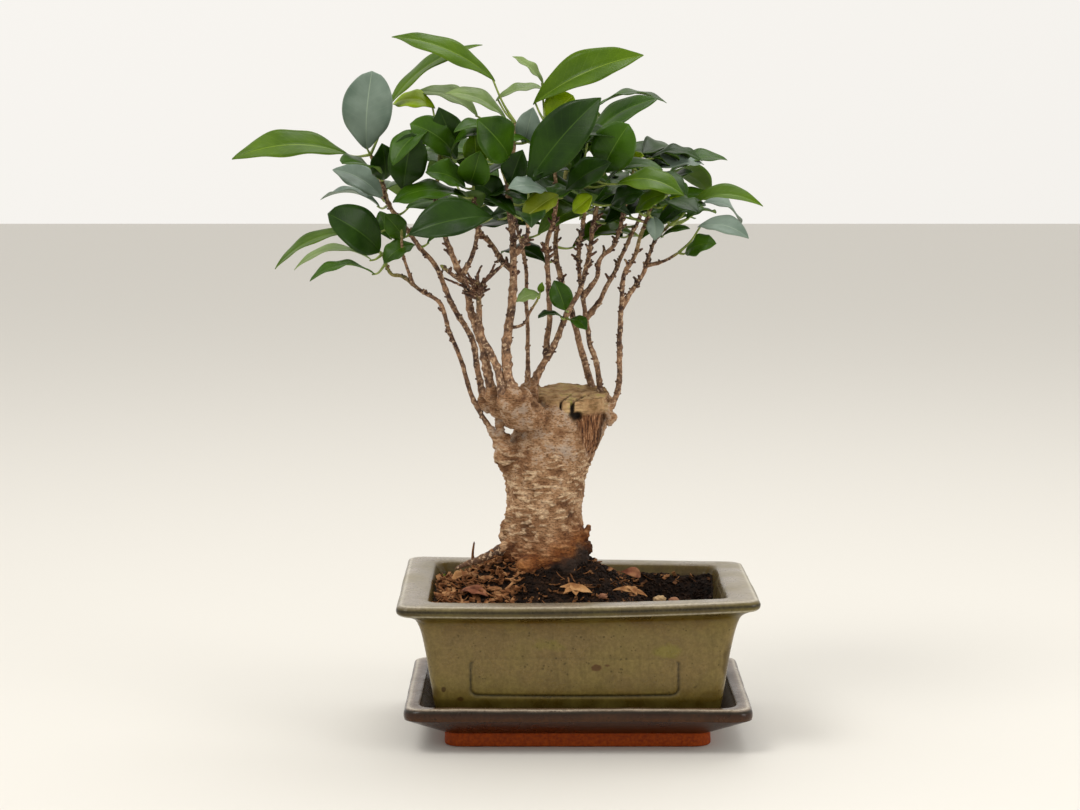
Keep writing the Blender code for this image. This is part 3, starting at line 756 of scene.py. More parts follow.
# Half length, half depth and height of each section: up the outside, over the rim and down the inside.
TRAY_CORNER = 9.0
TRAY_SECTIONS = (
    (73.0, 51.0, 0.0),
    (74.5, 52.5, 1.2),
    (74.5, 52.5, 7.6),
    (76.5, 54.5, 8.6),
    (94.0, 72.0, 18.0),
    (96.0, 74.0, 19.6),
    (96.4, 74.4, 21.8),
    (96.0, 74.0, 24.0),
    (94.5, 72.5, 25.4),
    (91.0, 69.0, 25.6),
    (88.0, 66.0, 25.3),
    (86.5, 64.5, 23.8),
    (80.0, 58.0, 18.0),
    (73.5, 51.5, 12.6),
    (70.0, 48.0, 11.5),
)

POT_CORNER = 7.0
POT_SECTIONS = (
    (74.0, 49.5, 15.6),
    (77.5, 53.0, 16.4),
    (79.2, 54.7, 19.0),
    (80.5, 56.0, 26.0),
    (80.9, 56.4, 28.5),
    (81.2, 56.7, 31.0),
    (81.6, 57.1, 33.5),
    (82.6, 58.1, 40.0),
    (83.6, 59.1, 47.0),
    (84.0, 59.5, 50.0),
    (84.4, 59.9, 53.0),
    (86.3, 61.8, 64.0),
    (88.2, 63.7, 71.0),
    (90.4, 65.9, 75.2),
    (95.0, 70.5, 78.0),
    (98.6, 73.8, 79.2),
    (100.0, 75.0, 81.4),
    (99.4, 74.4, 83.8),
    (97.0, 72.0, 85.0),
    (92.0, 67.0, 85.3),
    (85.5, 60.5, 85.0),
    (83.0, 58.0, 84.0),
    (81.6, 56.6, 81.0),
    (80.3, 55.3, 76.0),
    (76.5, 52.0, 50.0),
    (73.0, 48.5, 24.0),
    (70.0, 45.5, 21.5),
)
# Middle x, middle height, half length, half height and corner of the incised panel.
PANEL = (-2.0, 41.0, 57.5, 10.5, 4.0)
PANEL_LINE = 0.9
PANEL_SPREAD = 1.115
POT_STEPS = 6
# Place and size of each foot, and the heights of its bottom and top.
FEET = ((56.0, 38.0), (22.0, 12.0), (11.9, 16.4))
# Section numbers: where pale highlight lines are painted along the pot's rim, and where a dark line runs
# along its front; then the tray's.
POT_HIGHLIGHT_LINES = (15.2, 17.8)
POT_DARK_LINE = 16.4
TRAY_HIGHLIGHT_LINES = (8.2,)
TRAY_DARK_LINE = 7.2


def rounded_outline(half_x, half_y, corner, spacing, dense=()):
    """Shares of a rounded rectangle: points that scale with its size, denser near some x places."""
    places = []
    stops = [-(half_x - corner)]
    while stops[-1] < half_x - corner:
        near = any(abs(stops[-1] - place) < 5.0 for place in dense)
        stops.append(min(half_x - corner, stops[-1] + (0.7 if near else spacing)))
    for turn in range(4):
        sign_x = 1 if turn in (0, 3) else -1
        sign_y = 1 if turn in (0, 1) else -1
        for step in range(9):
            angle = math.radians(90.0 * (turn + step / 8.0))
            middle = (sign_x * (half_x - corner), sign_y * (half_y - corner))
            places.append((*middle, math.cos(angle), math.sin(angle)))
        if turn in (0, 2):
            inner = [x for x in stops[1:-1]]
            for x in (reversed(inner) if turn == 0 else inner):
                places.append((x, sign_y * (half_y - corner), 0.0, float(sign_y)))
        else:
            steps = int(2 * (half_y - corner) / spacing)
            for i in range(1, steps):
                y = (half_y - corner) * (1.0 - 2.0 * i / steps)
                places.append((sign_x * (half_x - corner), y * (1 if turn == 1 else -1), float(sign_x), 0.0))
    return places


def ceramic_shell(sections, corner, steps, dense, bend):
    """A rounded rectangular vessel: its points, its ring size and each point's section number."""
    base_x, base_y = sections[0][:2]
    places = rounded_outline(base_x, base_y, corner, 3.5, dense)
    points = []
    rows = smooth_rows(sections, steps)
    for half_x, half_y, height in rows:
        out_x = half_x - base_x
        out_y = half_y - base_y
        for x, y, lean_x, lean_y in places:
            wide = x + math.copysign(out_x, x)
            deep = y + math.copysign(out_y, y)
            # points along a straight wall spread evenly with it
            if abs(lean_y) == 1.0:
                wide = x * (1.0 + out_x / (base_x - corner))
            if abs(lean_x) == 1.0:
                deep = y * (1.0 + out_y / (base_y - corner))
            place = Vector((wide + lean_x * corner, deep + lean_y * corner, height))
            points.append(bend(place, lean_x, lean_y))
    levels = np.repeat(np.arange(len(rows)) / steps, len(places))
    return points, len(places), levels


def panel_depth(x, height):
    """Depth of the incised panel line at a place on a long wall; glaze almost fills its top run."""
    middle, level, half_x, half_z, corner = PANEL
    sag = 0.7 * (1.0 - min(1.0, ((x - middle) / half_x) ** 2))
    across = abs(x - middle) - (half_x - corner)
    up = abs(height - level + (sag if height < level else 0.0)) - (half_z - corner)
    away = math.hypot(max(across, 0.0), max(up, 0.0)) + min(max(across, up), 0.0) - corner
    line = math.exp(-(away / 0.75) ** 2)
    raised = 0.28 * float(smooth_step(1.0, -1.5, away)) if abs(away) < 40 else 0.0
    faint = 0.15 if height > level + half_z - 1.5 else 1.0
    return (-PANEL_LINE * line + raised) * faint


def bend_pot(point, lean_x, lean_y):
    """The slight warp of a hand-pressed pot, and the panel on its long walls."""
    x, y, z = point
    high = float(smooth_step(62.0, 80.0, z))
    outer = abs(y) > 52.0 or abs(x) > 76.0
    point.z += high * (-1.9 * (1.0 - (x / 100.0) ** 2) * float(smooth_step(10.0, -75.0, y)))
    point.z += high * (-1.7 * (x / 100.0) * (y / 75.0))
    swell = 0.35 * rough((x, y, z), 34.0, 3.0) + 0.12 * rough((x, y, z), 9.0, 5.0)
    if outer and z < 84.0:
        point.x += lean_x * swell
        point.y += lean_y * swell
    if 24.0 < z < 62.0 and outer and abs(lean_y) > 0.9:
        point.y += lean_y * panel_depth(x, z)
    return point


def bend_tray(point, lean_x, lean_y):
    """Small unevenness of the tray's lip."""
    x, y, z = point
    high = float(smooth_step(12.0, 22.0, z))
    point.z += high * (0.5 * rough((x, y, 0.0), 60.0, 9.0) + 0.15 * rough((x, y, 0.0), 12.0, 11.0))
    swell = high * 0.3 * rough((x, y, z), 25.0, 13.0)
    point.x += lean_x * swell
    point.y += lean_y * swell
    return point


def glaze_finish(name, bands, speckle, streak, stains=(), bare=None):
    """Reduction-fired glaze over red clay: mottled and streaked as it ran, with iron specks. bands are
    colours by section of the vessel, stains are patches of another colour with places and half sizes in
    metres, and bare is the two colours of an unglazed foot."""
    made, tree, shader = new_material(name)
    where = add(tree, "ShaderNodeTexCoord")
    spot = where.outputs["Object"]
    # the glaze's own edge wanders by a fraction of a section
    wander = add(tree, "ShaderNodeTexNoise", {"Vector": spot, "Scale": 90.0, "Detail": 3.0})
    level = add(tree, "ShaderNodeAttribute", attribute_name="section")
    shifted = add(tree, "ShaderNodeMath", {0: wander, 1: 0.8, 2: level.outputs["Fac"]},
                  operation="MULTIPLY_ADD")
    last = bands[-1][0]
    band = add(tree, "ShaderNodeMapRange", {0: shifted, 1: 0.4, 2: last + 0.4})
    base = add(tree, "ShaderNodeValToRGB", {0: band}, stops=[(at / last, tint) for at, tint in bands])
    # soft clouds of about 25 mm, runs of about 3 mm by 25 mm, and specks under 1 mm
    cloud = add(tree, "ShaderNodeTexNoise", {"Vector": spot, "Scale": 38.0, "Detail": 5.0, "Roughness": 0.6})
    clouded = add(tree, "ShaderNodeMapRange", {0: cloud, 1: 0.42, 2: 0.72, 3: 0.0, 4: 0.4})
    mottled = add(tree, "ShaderNodeMix", {0: clouded, 6: base, 7: linear(streak)}, data_type="RGBA")
    drawn = add(tree, "ShaderNodeMapping", {"Vector": spot, "Scale": (330.0, 330.0, 40.0)})
    runs = add(tree, "ShaderNodeTexNoise", {"Vector": drawn, "Scale": 1.0, "Detail": 3.0})
    running = add(tree, "ShaderNodeMapRange", {0: runs, 1: 0.5, 2: 0.75, 3: 0.0, 4: 0.3})
    run = add(tree, "ShaderNodeMix", {0: running, 6: mottled, 7: linear(speckle)}, data_type="RGBA")
    grit = add(tree, "ShaderNodeTexVoronoi", {"Vector": spot, "Scale": 420.0})
    size = add(tree, "ShaderNodeTexNoise", {"Vector": spot, "Scale": 210.0, "Detail": 0.0})
    limit = add(tree, "ShaderNodeMapRange", {0: size, 1: 0.52, 2: 0.75, 3: 0.0, 4: 0.30})
    speck = add(tree, "ShaderNodeMath", {0: grit.outputs["Distance"], 1: limit}, operation="LESS_THAN")
    some = add(tree, "ShaderNodeMath", {0: speck, 1: 0.6}, operation="MULTIPLY")
    specked = add(tree, "ShaderNodeMix", {0: some, 6: run, 7: linear(speckle)}, data_type="RGBA")
    # pores and crystals of 1 to 2 mm
    pores = add(tree, "ShaderNodeTexNoise", {"Vector": spot, "Scale": 520.0, "Detail": 5.0, "Roughness": 0.7})
    shade = add(tree, "ShaderNodeMapRange", {0: pores, 1: 0.40, 2: 0.62, 3: 0.34, 4: 0.0})
    grained = add(tree, "ShaderNodeMix", {0: shade, 6: specked, 7: linear(speckle)}, data_type="RGBA")
    # pale highlight lines painted along the edge sections, broken up by the pores; dark in the panel's line,
    # where the glaze pools, and along one section
    edge_highlight = add(tree, "ShaderNodeAttribute", attribute_name="edge")
    thin = add(tree, "ShaderNodeMath", {0: edge_highlight.outputs["Fac"], 1: pores}, operation="MULTIPLY")
    highlighted = add(tree, "ShaderNodeMix", {0: thin, 6: grained, 7: linear("#cfc8b4")}, data_type="RGBA")
    hollow = add(tree, "ShaderNodeAttribute", attribute_name="hollow")
    broken = add(tree, "ShaderNodeMapRange", {0: pores, 1: 0.36, 2: 0.66, 3: 1.0, 4: 0.70})
    filled = add(tree, "ShaderNodeMath", {0: hollow.outputs["Fac"], 1: broken}, operation="MULTIPLY")
    colour = add(tree, "ShaderNodeMix", {0: filled, 6: highlighted, 7: linear("#201c10")}, data_type="RGBA")
    ragged = add(tree, "ShaderNodeTexNoise", {"Vector": spot, "Scale": 150.0, "Detail": 4.0})
    for place, size, share, tint in stains:
        nearer = add(tree, "ShaderNodeMapping", {
            "Vector": spot, "Location": [-p / s for p, s in zip(place, size)],
            "Scale": [1.0 / s for s in size]})
        away = add(tree, "ShaderNodeVectorMath", {0: nearer}, operation="LENGTH")
        frayed = add(tree, "ShaderNodeMath", {0: ragged, 1: 1.1, 2: away}, operation="MULTIPLY_ADD")
        inside = add(tree, "ShaderNodeMapRange", {0: frayed, 1: 1.05, 2: 1.35, 3: share, 4: 0.0})
        colour = add(tree, "ShaderNodeMix", {0: inside, 6: colour, 7: linear(tint)}, data_type="RGBA")
    gloss = add(tree, "ShaderNodeMapRange", {0: cloud, 1: 0.3, 2: 0.7, 3: 0.2, 4: 0.38})
    wave = add(tree, "ShaderNodeTexNoise", {"Vector": spot, "Scale": 160.0, "Detail": 2.0})
    if bare:
        # the foot is wiped free of glaze and shows the fired clay
        grain = add(tree, "ShaderNodeTexNoise", {"Vector": spot, "Scale": 700.0, "Detail": 4.0})
        clay = add(tree, "ShaderNodeValToRGB", {0: grain}, stops=((0.3, bare[0]), (0.7, bare[1])))
        mask = add(tree, "ShaderNodeMapRange", {0: shifted, 1: 3.0, 2: 3.3})
        colour = add(tree, "ShaderNodeMix", {0: mask, 6: clay, 7: colour}, data_type="RGBA")
        gloss = add(tree, "ShaderNodeMix", {0: mask, 2: 0.9, 3: gloss})
    bump = add(tree, "ShaderNodeBump", {"Height": wave, "Strength": 0.25, "Distance": 0.0008})
    feed(tree, shader, {
        "Base Color": colour, "Roughness": gloss, "Normal": bump,
        "Specular IOR Level": 0.22, "Coat Weight": 0.07, "Coat Roughness": 0.15})
    return made


# Section number and colour, from the foot up the outside, over the rim and down the inside.
# painted light in the pot's bands: darker at the foot and under the rim as painted shade, paler on the rim's
# top as a painted highlight; the colour also darkens down the inside
POT_BANDS = (
    (0.0, "#241a04"), (2.0, "#302405"), (3.2, "#413208"), (4.4, "#665526"), (7.5, "#7a663c"),
    (11.0, "#7a663e"), (12.0, "#705a30"), (13.0, "#503808"), (14.0, "#33260a"), (15.0, "#6a5c3a"),
    (16.0, "#4a3e22"), (17.0, "#64583c"), (17.8, "#a09482"), (19.0, "#928676"), (20.4, "#7e705c"),
    (21.2, "#584624"), (26.0, "#2c2009"),
)
# painted light in the tray's bands: the lip's top is paler as a painted highlight, and the outer slope is
# darkest, partly its own dark glaze and partly painted shade under the lip
TRAY_BANDS = (
    (0.0, "#1c0c02"), (3.5, "#301604"), (4.4, "#321804"), (5.0, "#4a2c14"), (6.0, "#341c0c"),
    (7.2, "#24120a"), (8.1, "#a89684"), (9.0, "#66503e"), (10.0, "#483222"), (11.0, "#3a281a"),
    (14.0, "#403020"),
)
# Patches where the glaze broke to another colour: place, half size, share, colour.
POT_STAINS = (
    ((0.0099, -0.058, 0.0464), (0.0048, 0.006, 0.0026), 0.8, "#4a2a10"),
    ((0.0160, -0.058, 0.0478), (0.0030, 0.006, 0.0018), 0.7, "#4a2a10"),
    ((-0.0745, -0.058, 0.0337), (0.0020, 0.006, 0.0028), 0.8, "#38240a"),
    ((-0.0650, -0.057, 0.0282), (0.0030, 0.006, 0.0020), 0.8, "#38240a"),
    ((-0.0160, -0.058, 0.0600), (0.0160, 0.006, 0.0060), 0.35, "#7c7826"),
    ((0.0500, -0.060, 0.0560), (0.0130, 0.008, 0.0060), 0.35, "#7c7826"),
    ((0.0830, -0.056, 0.0480), (0.0050, 0.012, 0.0170), 0.75, "#4a3a10"),
    ((0.0720, -0.058, 0.0300), (0.0090, 0.008, 0.0050), 0.6, "#4e3e14"),
    ((-0.0830, -0.056, 0.0300), (0.0090, 0.012, 0.0070), 0.6, "#4e3e14"),
    ((0.0300, 0.058, 0.0420), (0.0060, 0.006, 0.0120), 0.6, "#4a3a14"),
)


def make_pot():
    """The glazed pot on its four feet."""
    # the panel's ends, where they stand on the wall's narrower foot
    dense = ((PANEL[0] - PANEL[2]) / PANEL_SPREAD, (PANEL[0] + PANEL[2]) / PANEL_SPREAD)
    points, count, levels = ceramic_shell(POT_SECTIONS, POT_CORNER, POT_STEPS, dense, bend_pot)
    faces = ring_faces(len(points) // count, count)
    (foot_x, foot_y), (size_x, size_y), (low, high) = FEET
    for side_x in (-1, 1):
        for side_y in (-1, 1):
            start = len(points)
            for z, spread in ((low, 0.42), (low + 1.0, 0.5), (high, 0.54)):
                for dx, dy in ((-1, -1), (1, -1), (1, 1), (-1, 1)):
                    x = side_x * foot_x + dx * size_x * spread
                    y = side_y * foot_y + dy * size_y * spread
                    points.append((x, y, z))
            faces += [tuple(start + v for v in face) for face in ring_faces(3, 4)]
    finish = glaze_finish("olive_glaze", POT_BANDS, "#3f3416", "#857a3c", POT_STAINS)
    mesh = mesh_from("pot_glazed", points, faces, (finish,))
    mark_ceramic(mesh, levels, POT_HIGHLIGHT_LINES, POT_DARK_LINE, PANEL)
    return finish_piece("pot_glazed", mesh, ("pot",))


def mark_ceramic(mesh, levels, highlight_lines, line, panel=None):
    """Store on a mesh what glaze_finish reads: section numbers, where a pale highlight line is painted
    along an edge, and where it is dark: glaze pooled in the panel's line, and a line along one section."""
    count = len(mesh.vertices)
    places = np.empty(count * 3)
    mesh.vertices.foreach_get("co", places)
    places = places.reshape(-1, 3) / MM
    section = np.zeros(count)
    section[:len(levels)] = levels
    hollow = np.zeros(count)
    if panel:
        for i, (x, y, z) in enumerate(places):
            if abs(y) > 50.0 and 26.0 < z < 56.0 and abs(x) < 66.0:
                hollow[i] = min(1.0, max(0.0, -panel_depth(x, z) / PANEL_LINE))
    store(mesh, "section", section)
    store(mesh, "edge", sum(np.exp(-((section - edge) / 0.22) ** 2) for edge in highlight_lines))
    store(mesh, "hollow", np.maximum(hollow, np.exp(-((section - line) / 0.36) ** 2)))


def make_tray():
    """The drip tray, glazed but for its foot."""
    points, count, levels = ceramic_shell(TRAY_SECTIONS, TRAY_CORNER, 6, (), bend_tray)
    finish = glaze_finish("brown_tray_glaze", TRAY_BANDS, "#1c1006", "#4a301a", bare=("#742802", "#9c4208"))
    mesh = mesh_from("tray_glazed", points, ring_faces(len(points) // count, count), (finish,))
    mark_ceramic(mesh, levels, TRAY_HIGHLIGHT_LINES, TRAY_DARK_LINE)
    return finish_piece("tray_glazed", mesh, ("drip_tray",))


# ---------------------------------------------------------------- trunk

# Height, middle x, middle y, half width, half depth.
TRUNK_SECTIONS = (
    (80.5, -16.5, 0.0, 22.0, 20.0),
    (90.0, -17.0, 0.0, 23.6, 21.6),
    (98.0, -17.0, 0.0, 24.2, 22.2),
    (108.0, -17.2, 0.0, 23.0, 21.2),
    (119.0, -18.8, 0.0, 22.0, 20.5),
    (131.0, -18.2, 0.0, 21.4, 20.4),
    (142.0, -18.0, 0.5, 22.6, 21.2),
    (153.0, -17.6, 1.0, 25.0, 23.2),
    (162.0, -14.4, 1.5, 26.4, 24.6),
    (171.0, -10.2, 2.0, 25.6, 25.0),
    (179.0, -7.5, 2.5, 24.6, 25.2),
    (187.0, -3.6, 3.0, 20.8, 24.4),
    (197.0, -2.4, 3.0, 19.6, 23.0),
)
# Burls, shoulder and knobs grown on the trunk: middle and radius.
BURLS = (
    (-35.0, -4.0, 184.0, 11.0), (-32.0, -15.0, 184.0, 11.0), (-43.0, 3.0, 185.0, 7.0),
    (-43.0, -12.0, 186.5, 6.5), (-26.0, 10.0, 186.0, 12.0), (-37.0, -23.0, 187.0, 6.5),
    (-25.0, -20.0, 182.0, 8.0), (-28.0, -6.0, 190.0, 7.0), (-40.0, -9.0, 159.0, 7.5),
    (-43.0, -8.0, 164.0, 5.0), (-38.0, -7.0, 152.0, 6.0), (-39.0, 8.0, 157.0, 7.0),
    (16.0, -4.0, 184.0, 4.4), (19.6, -6.0, 179.5, 3.2), (18.5, -6.5, 176.5, 2.6),
    (14.0, 5.0, 187.0, 6.5), (8.0, 18.0, 188.0, 8.0), (-38.5, -5.0, 117.0, 5.0),
    (-37.0, -8.0, 124.0, 4.0), (-40.0, 2.0, 110.0, 5.0), (3.5, -5.0, 112.0, 3.6),
    (6.5, -5.0, 115.5, 1.8), (4.5, -2.0, 104.0, 4.5), (-39.5, -8.0, 104.0, 4.6),
    (-6.0, -20.0, 96.0, 6.0), (-28.0, -19.0, 96.0, 7.0), (-12.0, 20.0, 97.0, 7.0),
)
# Stubs that stand on the trunk, and the root's swollen start: route and radii.
TRUNK_STUBS = (
    (((-40, -9, 162), (-43, -9, 170), (-44, -8, 179)), (2.2, 1.7, 2.4)),
    (((-40, -9, 160), (-45, -10, 166), (-47.5, -10, 171)), (3.4, 2.6, 1.7)),
    (((-30, -6, 108), *ROOT_ROUTE[:3]), (7.0, 5.0, 3.6, 2.6)),
)
TRUNK_AROUND = 48
CUT_HEIGHT = 193.0
CUT_TILT = 0.11
CUT_LEFT = -22.0
# Cracks of the sawn top: x, slant, width and depth.
CRACKS = ((-20.8, -0.15, 1.5, 7.0), (-9.5, 0.30, 0.9, 4.0), (-3.2, 0.45, 1.4, 7.0))
# The notch under the sawn top, painted dark as shade in it: x, height, half width and half height. The scar's
# top and foot: x, height, half width.
SHADED_NOTCH = (-1.0, 182.0, 4.6, 3.4)
SCAR_TOP = (7.0, 181.0, 9.0)
SCAR_FOOT = (8.4, 157.5, 2.6)
TRUNK_VOXEL = 0.6
BARK_WEAR = ("cut", "scar", "crack_and_shade", "dash", "warm", "soiled")


def tube_into(bm, points, radii, around=12):
    """Add a plain tapered tube to a bmesh, in millimetres."""
    route, _ = routed(points, radii, 1.5)
    ring = sweep(route, around, lambda i, angle: route[i][3])
    made = [bm.verts.new(p) for p in ring]
    for face in ring_faces(len(route), around):
        bm.faces.new([made[v] for v in face])


def trunk_blank():
    """The trunk's rough solid: its sections, burls and the collars that the stems grow from."""
    bm = bmesh.new()
    rows = smooth_rows(TRUNK_SECTIONS, 4)
    rings = []
    for height, middle_x, middle_y, half_x, half_y in rows:
        ring = []
        for k in range(TRUNK_AROUND):
            angle = math.tau * k / TRUNK_AROUND
            lobes = 1.0 + 0.035 * math.cos(3.0 * angle + 0.03 * height)
            lobes += 0.02 * math.cos(5.0 * angle - 0.05 * height)
            x = middle_x + half_x * lobes * math.cos(angle)
            y = middle_y + half_y * lobes * math.sin(angle)
            ring.append(bm.verts.new((x, y, height)))
        rings.append(ring)
    for lower, upper in zip(rings, rings[1:]):
        for k in range(TRUNK_AROUND):
            j = (k + 1) % TRUNK_AROUND
            bm.faces.new((lower[k], lower[j], upper[j], upper[k]))
    bm.faces.new(list(reversed(rings[0])))
    bm.faces.new(rings[-1])
    for x, y, z, radius in BURLS:
        ball = bmesh.ops.create_icosphere(bm, subdivisions=3, radius=radius)
        bmesh.ops.translate(bm, vec=(x, y, z), verts=ball["verts"])
    for name, (foot, _, parent, table) in STEMS.items():
        if parent:
            continue
        first, second = Vector(table[0]), Vector(table[1])
        way = (second - first).normalized()
        inward = Vector((-14.0, 2.0, first.z - 14.0)) - first
        inward = first + inward.normalized() * 9.0
        tube_into(bm, [inward, first, first + way * 6.0], [foot * 2.3, foot * 1.75, foot * 1.02])
    for stub, radii in TRUNK_STUBS:
        tube_into(bm, [Vector(p) for p in stub], radii)
    return bm


def cut_plane(x, y):
    """Height of the sawn top, which leans to the front."""
    return CUT_HEIGHT + CUT_TILT * (y - 3.0)


def dirt_line(x, y, z):
    """Height up to which wet soil clings to the trunk; it is highest on the right."""
    return 94.5 + 12.0 * float(smooth_step(-26.0, 4.0, x)) + 5.0 * rough((x, y, z), 7.0, 9.0)


def shape_bark(point, normal):
    """Where a point of the blank goes, and its share of each kind of wear and painted shade, as BARK_WEAR
    lists them.
    """
    x, y, z = point
    cut = scar = crack_and_shade = 0.0
    lump = 0.9 * rough(point, 13.0, 1.0) + 0.6 * rough(point, 6.0, 2.0)
    plates = 0.45 * rough((x, y, z * 2.4), 3.0, 3.0)
    fine = 0.30 * rough((x, y, z * 1.6), 1.4, 4.0)
    # corky dashes of about 6 mm by 2 mm stand proud below the crotch, and the shoulder is knobbly
    below = float(smooth_step(176.0, 150.0, z)) * 0.85 + 0.15
    dash = float(smooth_step(0.12, 0.26, rough((x, y, z * 3.0), 5.0, 31.0))) * below
    knobbly = float(smooth_step(172.0, 182.0, z)) * float(smooth_step(-12.0, -24.0, x))
    knobs = 0.9 * max(0.0, rough(point, 2.6, 33.0)) * knobbly
    moved = point + normal * (lump + plates + fine + 0.5 * dash + knobs)
    top = cut_plane(x, y) + 0.9 * rough((x, y, 0.0), 4.5, 35.0)
    in_cut = x > CUT_LEFT and math.hypot((x + 2.4) / 20.5, (y - 3.0) / 25.0) < 1.06
    if in_cut and moved.z > top - 0.5:
        moved.z = top + 0.6 * rough((x * 0.4, y, 0.0), 1.6, 6.0) + 0.6 * rough((x, y, 0.0), 5.0, 7.0)
        cut = 1.0
    if in_cut and z > top - 14.0:
        face = float(smooth_step(4.0, -16.0, y))
        # the front of the sawn top has split away, so bare wood shows down to 8 mm below it on the right
        split = 2.5 + 6.0 * float(smooth_step(-14.0, 0.0, x)) + 1.8 * rough(point, 4.0, 36.0)
        cut = max(cut, face * float(smooth_step(top - split - 1.0, top - split + 1.0, z)))
        for start, slant, width, depth in CRACKS:
            away = abs(x - start - slant * (y + 22.0)) / width
            near = face * max(0.0, 1.0 - away) * float(smooth_step(top - 12.0, top - 4.0, z))
            crack_and_shade = max(crack_and_shade, min(1.0, 2.2 * near))
            moved.z -= depth * near * float(smooth_step(top - 3.0, top, z))
            moved.y += 2.5 * near
    # the notch under the sawn top is painted dark as shade in it
    if y < 0.0:
        hole_x, hole_z, half_x, half_z = SHADED_NOTCH
        away = math.hypot((x - hole_x) / half_x, (z - hole_z) / half_z)
        deep = float(smooth_step(1.1, 0.4, away + 0.25 * rough(point, 3.0, 37.0)))
        moved.y += 4.0 * deep
        crack_and_shade = max(crack_and_shade, deep)
    if y < 6.0:
        top_x, top_z, top_half = SCAR_TOP
        foot_x, foot_z, foot_half = SCAR_FOOT
        share = (top_z - z) / (top_z - foot_z)
        if -0.15 < share < 1.1:
            half = top_half + (foot_half - top_half) * max(0.0, share) + 0.6 * rough(point, 4.0, 38.0)
            away = (x - top_x - (foot_x - top_x) * share) / half
            scar = float(
                smooth_step(1.12, 0.86, abs(away)) * smooth_step(-0.12, 0.02, share)
                * smooth_step(1.08, 0.9, share))
            groove = 0.5 * rough((x * 2.2, 0.0, z * 0.3), 2.4, 8.0)
            moved.y += scar * (2.2 * math.sqrt(max(0.0, 1.0 - min(1.0, away * away))) + groove)
            # painted shade along the scar's sunken edges, heavier on the right one
            side = 1.0 if away > 0.0 else 0.4
            crack_and_shade = max(crack_and_shade, 0.8 * scar * float(smooth_step(0.62, 0.95, abs(away))) * side)
    line = dirt_line(x, y, z)
    warm = float(smooth_step(line + 24.0, line + 2.0, z))
    soiled = float(smooth_step(line + 4.5, line - 4.0, z))
    return moved, (cut, scar, crack_and_shade, dash * (1.0 - cut), warm, soiled)


